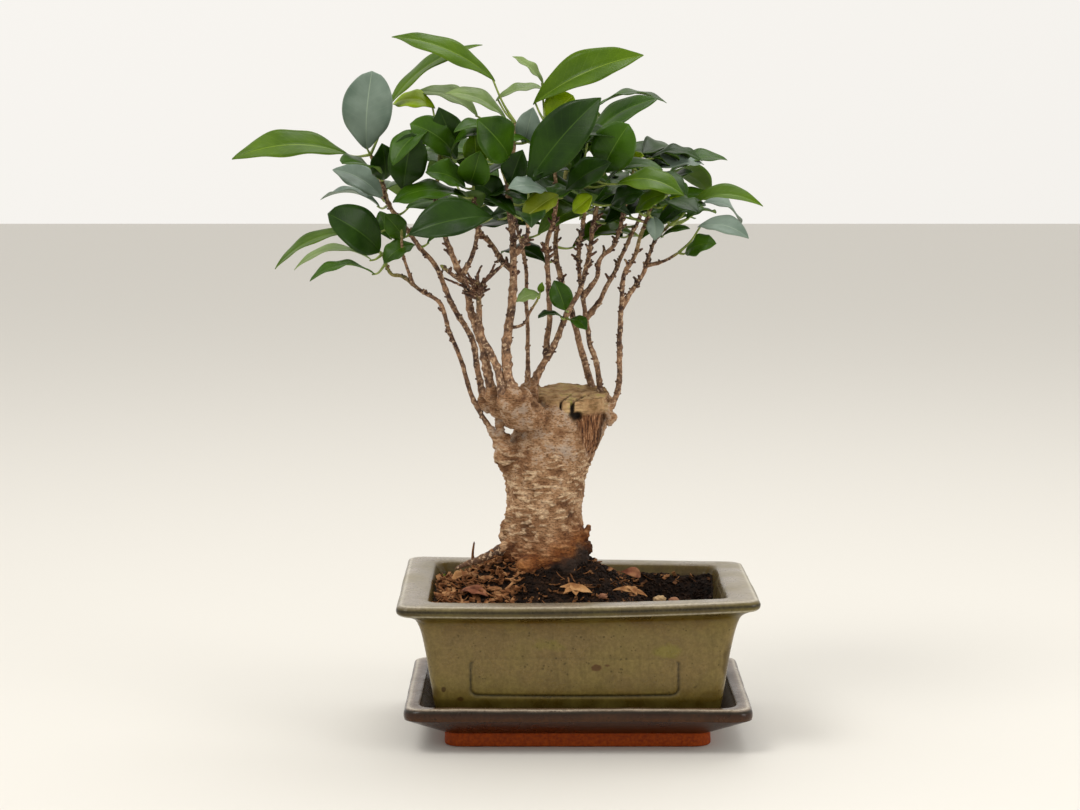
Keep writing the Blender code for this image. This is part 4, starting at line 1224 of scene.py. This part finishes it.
def bark_finish():
    """Fig bark: thin, warm brown and rough, with pale corky dashes across it and grey weathered patches;
    sawn and split yellow-brown wood on top, dark cracks, a healed scar, and shade painted in the notch
    under the top and along the scar's edges."""
    made, tree, shader = new_material("fig_bark")
    where = add(tree, "ShaderNodeTexCoord")
    spot = where.outputs["Object"]
    parts = add(tree, "ShaderNodeSeparateXYZ", {0: spot})
    wear = {kind: add(tree, "ShaderNodeAttribute", attribute_name=kind).outputs["Fac"] for kind in BARK_WEAR}
    wide = add(tree, "ShaderNodeTexNoise", {"Vector": spot, "Scale": 95.0, "Detail": 6.0, "Roughness": 0.65})
    bark = add(tree, "ShaderNodeValToRGB", {0: wide}, stops=(
        (0.30, "#5a3b26"), (0.42, "#876142"), (0.52, "#a88360"), (0.62, "#bc9876"), (0.74, "#a68d75")))
    # grain of about 1 mm, stretched across the trunk
    laid = add(tree, "ShaderNodeMapping", {"Vector": spot, "Scale": (620.0, 620.0, 1500.0)})
    fine = add(tree, "ShaderNodeTexNoise", {"Vector": laid, "Scale": 1.0, "Detail": 4.0})
    dark = add(tree, "ShaderNodeMapRange", {0: fine, 1: 0.34, 2: 0.52, 3: 0.7, 4: 0.0})
    colour = add(tree, "ShaderNodeMix", {0: dark, 6: bark, 7: linear("#3c2416")}, data_type="RGBA")
    pale = add(tree, "ShaderNodeMapRange", {0: fine, 1: 0.48, 2: 0.70, 3: 0.35, 4: 1.0})
    corky = add(tree, "ShaderNodeMath", {0: wear["dash"], 1: pale}, operation="MULTIPLY")
    colour = add(tree, "ShaderNodeMix", {0: corky, 6: colour, 7: linear("#e4c8a4")}, data_type="RGBA")
    # grey weathered skin in patches of about 15 mm, mostly high on the trunk, broken into 2 mm flecks
    patch = add(tree, "ShaderNodeTexNoise", {"Vector": spot, "Scale": 95.0, "Detail": 6.0, "Roughness": 0.75})
    high = add(tree, "ShaderNodeMapRange", {0: parts.outputs["Z"], 1: 0.135, 2: 0.160, 3: -0.05, 4: 0.06})
    raised = add(tree, "ShaderNodeMath", {0: patch, 1: high}, operation="ADD")
    fleck = add(tree, "ShaderNodeMath", {0: fine, 1: 0.35, 2: raised}, operation="MULTIPLY_ADD")
    lichen = add(tree, "ShaderNodeMapRange", {0: fleck, 1: 0.75, 2: 0.85, 3: 0.0, 4: 0.7})
    colour = add(tree, "ShaderNodeMix", {0: lichen, 6: colour, 7: linear("#a8988a")}, data_type="RGBA")
    tinted = add(tree, "ShaderNodeMix", {0: 1.0, 6: colour, 7: linear("#bc9060")},
                 data_type="RGBA", blend_type="MULTIPLY")
    colour = add(tree, "ShaderNodeMix", {0: wear["warm"], 6: colour, 7: tinted}, data_type="RGBA")
    # sawn wood, in layers of about 1 mm
    wood = add(tree, "ShaderNodeValToRGB", {0: wide}, stops=(
        (0.34, "#7a5c38"), (0.46, "#a2805a"), (0.58, "#bc9c70"), (0.70, "#a29650")))
    layer = add(tree, "ShaderNodeMapping", {"Vector": spot, "Scale": (140.0, 140.0, 900.0)})
    split = add(tree, "ShaderNodeTexNoise", {"Vector": layer, "Scale": 1.0, "Detail": 4.0})
    shade = add(tree, "ShaderNodeMapRange", {0: split, 1: 0.34, 2: 0.46, 3: 0.5, 4: 0.0})
    sawn = add(tree, "ShaderNodeMix", {0: shade, 6: wood, 7: linear("#4a3a1c")}, data_type="RGBA")
    colour = add(tree, "ShaderNodeMix", {0: wear["cut"], 6: colour, 7: sawn}, data_type="RGBA")
    # the scar's fibres, about 1 mm wide and 9 mm long
    drawn = add(tree, "ShaderNodeMapping", {"Vector": spot, "Scale": (900.0, 500.0, 110.0)})
    fibre = add(tree, "ShaderNodeTexNoise", {"Vector": drawn, "Scale": 1.0, "Detail": 3.0})
    healed = add(tree, "ShaderNodeValToRGB", {0: fibre}, stops=(
        (0.34, "#3a2212"), (0.48, "#70482c"), (0.60, "#946a48"), (0.70, "#c39a76")))
    colour = add(tree, "ShaderNodeMix", {0: wear["scar"], 6: colour, 7: healed}, data_type="RGBA")
    # dark in the cracks, and painted shade in the notch and along the scar's edges
    colour = add(tree, "ShaderNodeMix", {0: wear["crack_and_shade"], 6: colour, 7: linear("#1b120a")}, data_type="RGBA")
    dirt = add(tree, "ShaderNodeValToRGB", {0: wide}, stops=(
        (0.38, "#150d07"), (0.54, "#32231a"), (0.66, "#684c36")))
    colour = add(tree, "ShaderNodeMix", {0: wear["soiled"], 6: colour, 7: dirt}, data_type="RGBA")
    bump = add(tree, "ShaderNodeBump", {"Height": fine, "Strength": 0.75, "Distance": 0.0009})
    feed(tree, shader, {"Base Color": colour, "Roughness": 0.85, "Normal": bump, "Specular IOR Level": 0.25})
    return made


def remeshed(bm, voxel):
    """One closed skin round everything in a bmesh."""
    blank = bpy.data.meshes.new("blank")
    bm.to_mesh(blank)
    bm.free()
    solid = bpy.data.objects.new("blank", blank)
    bpy.context.scene.collection.objects.link(solid)
    skin = solid.modifiers.new("skin", "REMESH")
    skin.mode = "VOXEL"
    skin.voxel_size = voxel
    relax = solid.modifiers.new("relax", "SMOOTH")
    relax.factor = 0.5
    relax.iterations = 3
    graph = bpy.context.evaluated_depsgraph_get()
    made = bpy.data.meshes.new_from_object(solid.evaluated_get(graph))
    bpy.data.objects.remove(solid)
    return made


def make_trunk():
    """The trunk as one skin, with its bark's relief, wear and painted shade."""
    mesh = remeshed(trunk_blank(), TRUNK_VOXEL)
    count = len(mesh.vertices)
    normals = np.empty(count * 3)
    mesh.vertex_normals.foreach_get("vector", normals)
    normals = normals.reshape(-1, 3)
    places = np.empty((count, 3))
    wear = np.empty((count, len(BARK_WEAR)))
    for i, vertex in enumerate(mesh.vertices):
        places[i], wear[i] = shape_bark(vertex.co.copy(), Vector(normals[i]))
    mesh.vertices.foreach_set("co", (places * MM).ravel())
    mesh.name = "trunk_bark"
    mesh.materials.clear()
    mesh.materials.append(bark_finish())
    for name, values in zip(BARK_WEAR, wear.T):
        store(mesh, name, values)
    mesh.update()
    return finish_piece("trunk_bark", mesh, ("trunk",))


def twig_finish(name, dark, light):
    """Young fig bark: warm brown, matte, with pale corky points and darker creases; green at the tips."""
    made, tree, shader = new_material(name)
    where = add(tree, "ShaderNodeTexCoord")
    spot = where.outputs["Object"]
    wide = add(tree, "ShaderNodeTexNoise", {"Vector": spot, "Scale": 150.0, "Detail": 5.0})
    bark = add(tree, "ShaderNodeValToRGB", {0: wide}, stops=((0.34, dark), (0.66, light)))
    points = add(tree, "ShaderNodeTexNoise", {"Vector": spot, "Scale": 620.0, "Detail": 3.0})
    corky = add(tree, "ShaderNodeMapRange", {0: points, 1: 0.55, 2: 0.66, 3: 0.0, 4: 0.75})
    dotted = add(tree, "ShaderNodeMix", {0: corky, 6: bark, 7: linear("#cdb08e")}, data_type="RGBA")
    crease = add(tree, "ShaderNodeMapRange", {0: points, 1: 0.34, 2: 0.46, 3: 0.65, 4: 0.0})
    creased = add(tree, "ShaderNodeMix", {0: crease, 6: dotted, 7: linear("#2c180e")}, data_type="RGBA")
    young = add(tree, "ShaderNodeAttribute", attribute_name="young")
    green = add(tree, "ShaderNodeMix", {0: young.outputs["Fac"], 6: creased, 7: linear("#6f7a2c")},
                data_type="RGBA")
    bump = add(tree, "ShaderNodeBump", {"Height": points, "Strength": 0.7, "Distance": 0.0006})
    feed(tree, shader, {"Base Color": green, "Roughness": 0.75, "Normal": bump})
    return made


# Where old leaf stalks and cut twigs crowd a stem: first and last share of it, how many, longest in mm.
SPURS = {
    "stem_front_inner": (0.90, 1.0, 30, 22.0),
    "stem_front": (0.44, 0.64, 28, 5.5),
    "stem_centre": (0.42, 0.76, 34, 5.0),
    "stem_right_inner": (0.50, 0.80, 28, 4.5),
    "stem_slanting": (0.50, 0.80, 34, 5.0),
    "twig_outer": (0.10, 1.0, 26, 4.5),
    "twig_inner": (0.1, 1.0, 24, 4.5),
    "twig_right_fork": (0.20, 0.70, 24, 4.5),
    "stem_right": (0.55, 1.0, 22, 4.0),
    "stem_front_left": (0.50, 0.92, 24, 4.0),
    "stem_left": (0.50, 0.90, 16, 3.5),
    "twig_right_outer": (0.20, 0.9, 16, 4.0),
    "twig_front_upright": (0.1, 0.9, 16, 4.0),
    "stem_back": (0.45, 0.85, 20, 4.5),
    "twig_back_right": (0.3, 0.9, 20, 4.0),
    "stem_thin": (0.5, 0.9, 10, 3.0),
    "twig_front_low": (0.2, 1.0, 8, 3.5),
    "stem_far_left": (0.4, 1.0, 10, 3.0),
}
BUD_THICK = 0.62
SPUR_THICK = 0.85
BUD_SPACING = 6.0
SPUR_AROUND = 6


def make_spurs(routes, finish):
    """Stubs of old twigs and leaf stalks: short and dense where the stems fork, and a bud here and there."""
    draw = random.Random(17)
    points = []
    faces = []
    for name, route in routes.items():
        length = len(route) * STEM_STEP
        spots = []
        for _ in range(int(length / BUD_SPACING)):
            spots.append((draw.uniform(0.04, 0.98), draw.uniform(0.3, 1.2), BUD_THICK))
        if name in SPURS:
            first, last, count, longest = SPURS[name]
            for _ in range(count):
                share = draw.uniform(first, last)
                spots.append((share, longest * draw.uniform(0.15, 1.0) ** 1.6, SPUR_THICK))
        for share, reach, thick in spots:
            i = int(share * (len(route) - 2))
            middle = Vector(route[i, :3])
            ahead = Vector(route[i + 1, :3] - route[i, :3]).normalized()
            aside = ahead.orthogonal().normalized()
            aside.rotate(Quaternion(ahead, draw.uniform(0.0, math.tau)))
            way = (aside + ahead * draw.uniform(0.2, 1.1) + UP * draw.uniform(0.0, 0.5)).normalized()
            bend = Vector([draw.uniform(-0.25, 0.25) for _ in range(3)]) * reach
            foot = middle + aside * (route[i, 3] * 0.4)
            tip = middle + aside * route[i, 3] + way * reach
            halfway = foot.lerp(tip, 0.5) + bend * 0.4
            stub, _ = routed([foot, halfway, tip], [thick * 1.5, thick, thick * 0.7], 1.5)
            start = len(points)
            points += sweep(stub, SPUR_AROUND,
                            lambda k, angle: stub[k][3] * (1.0 + 0.2 * math.sin(3.0 * k + angle)))
            faces += [tuple(start + v for v in face) for face in ring_faces(len(stub), SPUR_AROUND)]
    mesh = mesh_from("twig_stubs", points, faces, (finish,))
    store(mesh, "young", np.zeros(len(points)))
    return finish_piece("twig_stubs", mesh)


def make_stems():
    """Every stem and twig, from inside its parent to its tip."""
    finish = twig_finish("fig_stem_bark", "#3e2416", "#9c7656")
    routes = {}
    for seed, (name, (foot, end, parent, table)) in enumerate(STEMS.items()):
        points = [Vector(row) for row in table]
        if parent:
            points[0] = nearest_on(routes[parent], points[1].lerp(points[0], 0.7))[1]
        last = len(points) - 1
        radii = [foot + (end - foot) * (i / last) ** 0.8 for i in range(last + 1)]
        radii[0] *= 1.25
        ring, faces, route = knotty_tube(name, points, radii, seed + 1)
        routes[name] = route
        mesh = mesh_from(f"{name}_bark", ring, faces, (finish,))
        share = np.repeat(np.arange(len(route)) / (len(route) - 1), STEM_AROUND)
        store(mesh, "young", smooth_step(0.72, 1.0, share) * (0.75 if end <= 1.0 else 0.2))
        finish_piece(f"{name}_bark", mesh, (name,))
    make_spurs(routes, twig_finish("dry_twig_stubs", "#2a160c", "#6a4630"))
    ring, faces, _ = knotty_tube("root", [Vector(p) for p in ROOT_ROUTE], ROOT_RADII, ROOT_SEED)
    mesh = mesh_from("surface_root_bark", ring, faces, (twig_finish("root_bark", "#2e1a0e", "#66452a"),))
    store(mesh, "young", np.zeros(len(ring)))
    finish_piece("surface_root_bark", mesh, ("surface_root",))
    return routes


# ---------------------------------------------------------------- soil and litter

SOIL_EDGE = 78.0
SOIL_RISE = 18.5
SOIL_STEP = 1.1
SOIL_HALF = (81.0, 56.0)
SOIL_BOTTOM = 22.0
# The pit: x, y, half length and half width, and how deep it goes.
PIT = (56.0, 4.0, 25.0, 38.0)
PIT_DEPTH = 19.0


def pit(x, y):
    """Share of the hollow that is scooped out of the soil on the right."""
    middle_x, middle_y, half_x, half_y = PIT
    return math.exp(-(abs(x - middle_x) / half_x) ** 4 - (abs(y - middle_y) / half_y) ** 4)


def soil_height(x, y):
    """Height of the soil: a mound round the trunk, a pit on the right, and crumbly all over."""
    away = math.hypot((x + 17.0) / 1.25, y) - 20.0
    share = max(0.0, 1.0 - max(0.0, away) / 42.0)
    height = SOIL_EDGE + 0.4 + (SOIL_RISE + 0.5) * share**1.7
    height += 2.6 * math.exp(-((x + 58.0) / 16.0) ** 2 - ((y + 20.0) / 22.0) ** 2)
    height -= PIT_DEPTH * pit(x, y)
    height += 3.0 * math.exp(-((x - 48.0) / 14.0) ** 2 - ((y - 47.0) / 8.0) ** 2)
    height += 1.7 * rough((x, y, 0.0), 9.0, 21.0) + 0.9 * rough((x, y, 0.0), 3.6, 22.0)
    height += 0.5 * rough((x, y, 0.0), 1.7, 23.0)
    return height


def soil_finish():
    """Peat potting soil: nearly black, moist, with brown fibres and a little pale dust."""
    made, tree, shader = new_material("peat_soil")
    where = add(tree, "ShaderNodeTexCoord")
    spot = where.outputs["Object"]
    clod = add(tree, "ShaderNodeTexNoise", {"Vector": spot, "Scale": 260.0, "Detail": 6.0, "Roughness": 0.7})
    earth = add(tree, "ShaderNodeValToRGB", {0: clod}, stops=(
        (0.35, "#0b0604"), (0.52, "#21150d"), (0.64, "#342114"), (0.76, "#5c4029")))
    # the pit is painted nearly black, as shade in it
    deep = add(tree, "ShaderNodeAttribute", attribute_name="deep")
    pit_shaded = add(tree, "ShaderNodeMix", {0: deep.outputs["Fac"], 6: earth, 7: linear("#040201")},
               data_type="RGBA")
    bump = add(tree, "ShaderNodeBump", {"Height": clod, "Strength": 0.8, "Distance": 0.001})
    feed(tree, shader, {"Base Color": pit_shaded, "Roughness": 0.9, "Normal": bump, "Specular IOR Level": 0.12})
    return made


def litter_finish(name, dark, light, pale):
    """Dead leaf, bark, stone or crumbs on the soil: dry, matte and mottled."""
    made, tree, shader = new_material(name)
    where = add(tree, "ShaderNodeTexCoord")
    patch = add(tree, "ShaderNodeTexNoise", {
        "Vector": where.outputs["Object"], "Scale": 170.0, "Detail": 5.0})
    colour = add(tree, "ShaderNodeValToRGB", {0: patch}, stops=((0.32, dark), (0.52, light), (0.72, pale)))
    bump = add(tree, "ShaderNodeBump", {"Height": patch, "Strength": 0.4, "Distance": 0.0005})
    feed(tree, shader, {"Base Color": colour, "Roughness": 0.85, "Normal": bump, "Specular IOR Level": 0.15})
    return made


def make_soil():
    """The soil as one closed body: a crumbly top, and sides that follow the pot's inside."""
    half_x, half_y = SOIL_HALF
    columns = int(2 * half_x / SOIL_STEP) + 1
    lanes = int(2 * half_y / SOIL_STEP) + 1
    points = []
    for low in (False, True):
        for j in range(lanes):
            for i in range(columns):
                x = -half_x + 2 * half_x * i / (columns - 1)
                y = -half_y + 2 * half_y * j / (lanes - 1)
                if low:
                    points.append((x * 0.855, y * 0.80, SOIL_BOTTOM))
                else:
                    points.append((x, y, soil_height(x, y)))
    faces = []
    under = columns * lanes
    for j in range(lanes - 1):
        for i in range(columns - 1):
            a = j * columns + i
            b = a + columns
            faces.append((a, a + 1, b + 1, b))
    border = [i for i in range(columns - 1)]
    border += [j * columns + columns - 1 for j in range(lanes - 1)]
    border += [(lanes - 1) * columns + i for i in range(columns - 1, 0, -1)]
    border += [j * columns for j in range(lanes - 1, 0, -1)]
    for a, b in zip(border, border[1:] + border[:1]):
        faces.append((b, a, under + a, under + b))
    faces.append(tuple(under + a for a in reversed(border)))
    mesh = mesh_from("soil_top", points, faces, (soil_finish(),))
    loose = bmesh.new()
    loose.from_mesh(mesh)
    bmesh.ops.delete(loose, geom=[v for v in loose.verts if not v.link_faces], context="VERTS")
    bmesh.ops.recalc_face_normals(loose, faces=loose.faces)
    loose.to_mesh(mesh)
    loose.free()
    # how much shade is painted into the pit
    store(mesh, "deep", [0.7 * pit(v.co.x / MM, v.co.y / MM) for v in mesh.vertices])
    return finish_piece("soil_top", mesh, ("soil",))


def plain_mesh(piece):
    """The evaluated mesh of a piece with its node tree, as plain data."""
    graph = bpy.context.evaluated_depsgraph_get()
    return bpy.data.meshes.new_from_object(piece.evaluated_get(graph))


def scatter(name, ground, shape, finish, amount, size, seed, lift):
    """Scatter one small shape over the ground with geometry nodes, as one plain piece."""
    tree = bpy.data.node_groups.new(f"{name}_scatter", "GeometryNodeTree")
    tree.interface.new_socket("Ground", in_out="INPUT", socket_type="NodeSocketGeometry")
    tree.interface.new_socket("Amount", in_out="INPUT", socket_type="NodeSocketFloat")
    tree.interface.new_socket("Size", in_out="INPUT", socket_type="NodeSocketFloat")
    tree.interface.new_socket("Pieces", in_out="OUTPUT", socket_type="NodeSocketGeometry")
    given = add(tree, "NodeGroupInput")
    spots = add(tree, "GeometryNodeDistributePointsOnFaces",
                {"Mesh": given.outputs["Ground"], "Density": given.outputs["Amount"], "Seed": seed})
    if shape == "crumb":
        body = add(tree, "GeometryNodeMeshIcoSphere", {"Radius": given.outputs["Size"], "Subdivisions": 1})
        bent = body.outputs["Mesh"]
    else:
        wide = add(tree, "ShaderNodeMath", {0: given.outputs["Size"], 1: 0.42}, operation="MULTIPLY")
        thin = add(tree, "ShaderNodeMath", {0: given.outputs["Size"], 1: 0.09}, operation="MULTIPLY")
        box = add(tree, "ShaderNodeCombineXYZ", {0: given.outputs["Size"], 1: wide, 2: thin})
        flake = add(tree, "GeometryNodeMeshCube", {"Size": box, "Vertices X": 4, "Vertices Y": 3})
        place = add(tree, "GeometryNodeInputPosition")
        split = add(tree, "ShaderNodeSeparateXYZ", {0: place})
        along = split.outputs["X"]
        square = add(tree, "ShaderNodeMath", {0: along, 1: along}, operation="MULTIPLY")
        curl = add(tree, "ShaderNodeMath", {0: square, 1: 75.0}, operation="MULTIPLY")
        up = add(tree, "ShaderNodeCombineXYZ", {2: curl})
        moved = add(tree, "GeometryNodeSetPosition", {"Geometry": flake.outputs["Mesh"], "Offset": up})
        bent = moved.outputs["Geometry"]
    turn = add(tree, "FunctionNodeRandomValue", {
        0: (-0.7, -0.7, 0.0), 1: (0.7, 0.7, math.tau), "Seed": seed + 1}, data_type="FLOAT_VECTOR")
    grow = add(tree, "FunctionNodeRandomValue", {
        0: (0.35, 0.35, 0.35), 1: (1.3, 1.0, 1.1), "Seed": seed + 2}, data_type="FLOAT_VECTOR")
    raised = add(tree, "GeometryNodeSetPosition", {
        "Geometry": spots.outputs["Points"], "Offset": (0.0, 0.0, lift)})
    laid = add(tree, "GeometryNodeInstanceOnPoints", {
        "Points": raised.outputs["Geometry"], "Instance": bent,
        "Rotation": turn, "Scale": grow})
    real = add(tree, "GeometryNodeRealizeInstances", {"Geometry": laid.outputs["Instances"]})
    painted = add(tree, "GeometryNodeSetMaterial", {"Geometry": real.outputs["Geometry"], "Material": finish})
    add(tree, "NodeGroupOutput", {"Pieces": painted.outputs["Geometry"]})
    maker = bpy.data.objects.new(f"{name}_maker", ground)
    bpy.context.scene.collection.objects.link(maker)
    nodes = maker.modifiers.new("scatter", "NODES")
    nodes.node_group = tree
    values = {"Amount": amount, "Size": size}
    for socket in tree.interface.items_tree:
        if socket.in_out == "INPUT" and socket.name in values:
            nodes[socket.identifier] = values[socket.name]
    mesh = plain_mesh(maker)
    bpy.data.objects.remove(maker)
    mesh.name = name
    return finish_piece(name, mesh, smooth=False)


def ground_patch(low_x, high_x, low_y, high_y, pit_share=0.35):
    """A plain mesh of the soil's surface over a rectangle, to scatter on, down to a share of the pit."""
    points = []
    columns = 24
    for j in range(columns + 1):
        for i in range(columns + 1):
            x = low_x + (high_x - low_x) * i / columns
            y = low_y + (high_y - low_y) * j / columns
            points.append((x, y, soil_height(x, y)))
    faces = []
    for j in range(columns):
        for i in range(columns):
            a = j * (columns + 1) + i
            if pit(points[a][0], points[a][1]) < pit_share:
                faces.append((a, a + 1, a + columns + 2, a + columns + 1))
    return mesh_from("ground", points, faces, ())


# Dead leaves that lie on the soil: foot, tip, width, the way the upper side looks, arch, material.
DEAD_LEAVES = (
    ((-10, -37, 88), (8, -43, 86), 6, (0, -5, 8), 1, "tan"),
    ((-2, -34, 89), (-1, -46, 85), 6, (1, -4, 8), 1, "tan"),
    ((2, -36, 87), (-8, -46, 86), 4, (0, -4, 8), 1, "tan"),
    ((25, 0, 90), (37, 6, 86), 6, (-1, -8, 4), 4, "red"),
    ((20, -30, 85), (39, -37, 83), 6, (0, -3, 9), 2, "tan"),
    ((28, -30, 85), (33, -40, 84), 5, (0, -3, 9), 2, "tan"),
    ((-66, -34, 85), (-50, -42, 84), 9, (0, -3, 9), 3, "red"),
    ((-72, -8, 85), (-60, 4, 86), 8, (1, -2, 9), 3, "tan"),
    ((-48, 26, 86), (-60, 36, 85), 9, (0, -1, 9), 3, "red"),
)
# Stones and bark chips on the soil: place, half sizes, material.
PEBBLES = (
    ((46, -33, 80), (3.6, 2.8, 2.2), "stone"), ((54, -34, 79.5), (3.0, 2.4, 1.9), "clay"),
    ((-56, -28, 86), (5.5, 3.0, 1.8), "chip"), ((-47, -33, 86), (4.5, 2.6, 1.5), "chip"),
    ((-51, -22, 90), (4.8, 2.4, 1.6), "chip"), ((-44, -38, 84), (3.8, 3.0, 1.6), "chip"),
    ((-60, -14, 90), (4.4, 2.2, 1.4), "chip"), ((14, -40, 83), (2.6, 2.2, 1.6), "clay"),
)
# The dry stalk that stands in the soil: route and radii.
DRY_STALK = ((-60, 34, 84), (-60.5, 34, 93), (-59.5, 33, 102))
STALK_RADII = (0.9, 0.8, 0.5)
# What lies scattered: name, ground, shape, the finish's name and colours, how many in a square metre,
# size in metres, seed, height above the ground in metres.
SCATTERED = (
    ("soil_crumbs", "everywhere", "crumb", ("soil_crumb", "#0a0604", "#1d120b", "#382416"),
     260000.0, 0.0012, 5, 0.0003),
    ("bark_crumbs", "whole", "flake", ("bark_crumb", "#38210f", "#6f482a", "#a0734a"),
     26000.0, 0.0058, 8, 0.0006),
    ("leaf_litter", "left", "flake", ("dead_leaf", "#3c2410", "#7c5030", "#b88c60"),
     70000.0, 0.0078, 12, 0.0012),
    ("moss", "corner", "crumb", ("moss", "#2a3206", "#4a5812", "#788430"),
     900000.0, 0.0011, 15, 0.0004),
)


def make_litter():
    """The larger dead leaves, stones, chips and one dry stalk that lie or stand on the soil."""
    kinds = {
        "tan": litter_finish("dry_leaf_tan", "#7a5030", "#a87c50", "#c29a6c"),
        "red": litter_finish("dry_leaf_red", "#4e2a1a", "#80503a", "#a0714e"),
        "stone": litter_finish("pale_stone", "#7c6448", "#a88c66", "#bfa684"),
        "clay": litter_finish("clay_stone", "#6a4430", "#8a6048", "#a07a5e"),
        "chip": litter_finish("bark_chip", "#4a2c1a", "#7e5434", "#a47c54"),
    }
    for number, (foot, tip, width, face, arch, kind) in enumerate(DEAD_LEAVES):
        rows = leaf_points(foot, tip, width, face, arch, 0.2, 900 + number)
        points, faces, indices, uvs = blade_shell(rows)
        mesh = mesh_from(f"dead_leaf_{number + 1:02d}", points, faces, (kinds[kind],), uvs=uvs)
        finish_piece(mesh.name, outward(mesh))
    for number, (place, size, kind) in enumerate(PEBBLES):
        bm = bmesh.new()
        bmesh.ops.create_icosphere(bm, subdivisions=4, radius=1.0)
        for vertex in bm.verts:
            way = vertex.co.copy()
            bulge = 1.0 + 0.22 * rough(way * 2.0, 1.0, number) + 0.06 * rough(way * 6.0, 1.0, number + 20.0)
            vertex.co = (Vector(place) + Vector([w * s for w, s in zip(way, size)]) * bulge) * MM
        mesh = bpy.data.meshes.new(f"soil_stone_{number + 1:02d}")
        bm.to_mesh(mesh)
        bm.free()
        mesh.materials.append(kinds[kind])
        finish_piece(mesh.name, mesh)
    ring, faces, _ = knotty_tube("stalk", [Vector(p) for p in DRY_STALK], STALK_RADII, 91)
    finish_piece("dry_stalk", mesh_from("dry_stalk", ring, faces, (kinds["chip"],)))


def build():
    make_tray()
    make_pot()
    make_soil()
    make_trunk()
    stems = make_stems()
    finishes = {tone: leaf_finish(tone) for tone in TONES}
    finishes["stalk"] = petiole_finish()
    for seed, (name, row) in enumerate(LEAVES.items()):
        make_leaf(f"{name}_blade", row, stems, finishes, seed + 11, (name,))
    for number, row in enumerate(SMALL_LEAVES):
        make_leaf(f"small_leaf_{number + 1:02d}", row, stems, finishes, number + 101)
    far = shoot_leaves(stems, FAR_SHOOTS, 41, 0.75, (36.0, 52.0), ("mid", "mid", "dark", "light"))
    for number, row in enumerate(far):
        make_leaf(f"far_leaf_{number + 1:02d}", row, stems, finishes, number + 301)
    # the leaves inside the crown take mostly the dark tone, as painted shade
    inner = shoot_leaves(stems, INNER_SHOOTS, 43, 0.05, (27.0, 38.0), ("dark", "dark", "mid"))
    for number, row in enumerate(inner):
        make_leaf(f"inner_leaf_{number + 1:02d}", row, stems, finishes, number + 501)
    grounds = {
        "whole": ground_patch(-79.0, 79.0, -54.0, 54.0),
        "left": ground_patch(-79.0, -30.0, -54.0, 30.0),
        "everywhere": ground_patch(-79.0, 79.0, -54.0, 54.0, 1.1),
        "corner": ground_patch(-78.0, -58.0, 38.0, 54.0),
    }
    for name, ground, shape, tints, amount, size, seed, lift in SCATTERED:
        scatter(name, grounds[ground], shape, litter_finish(*tints), amount, size, seed, lift)
    make_litter()


build()
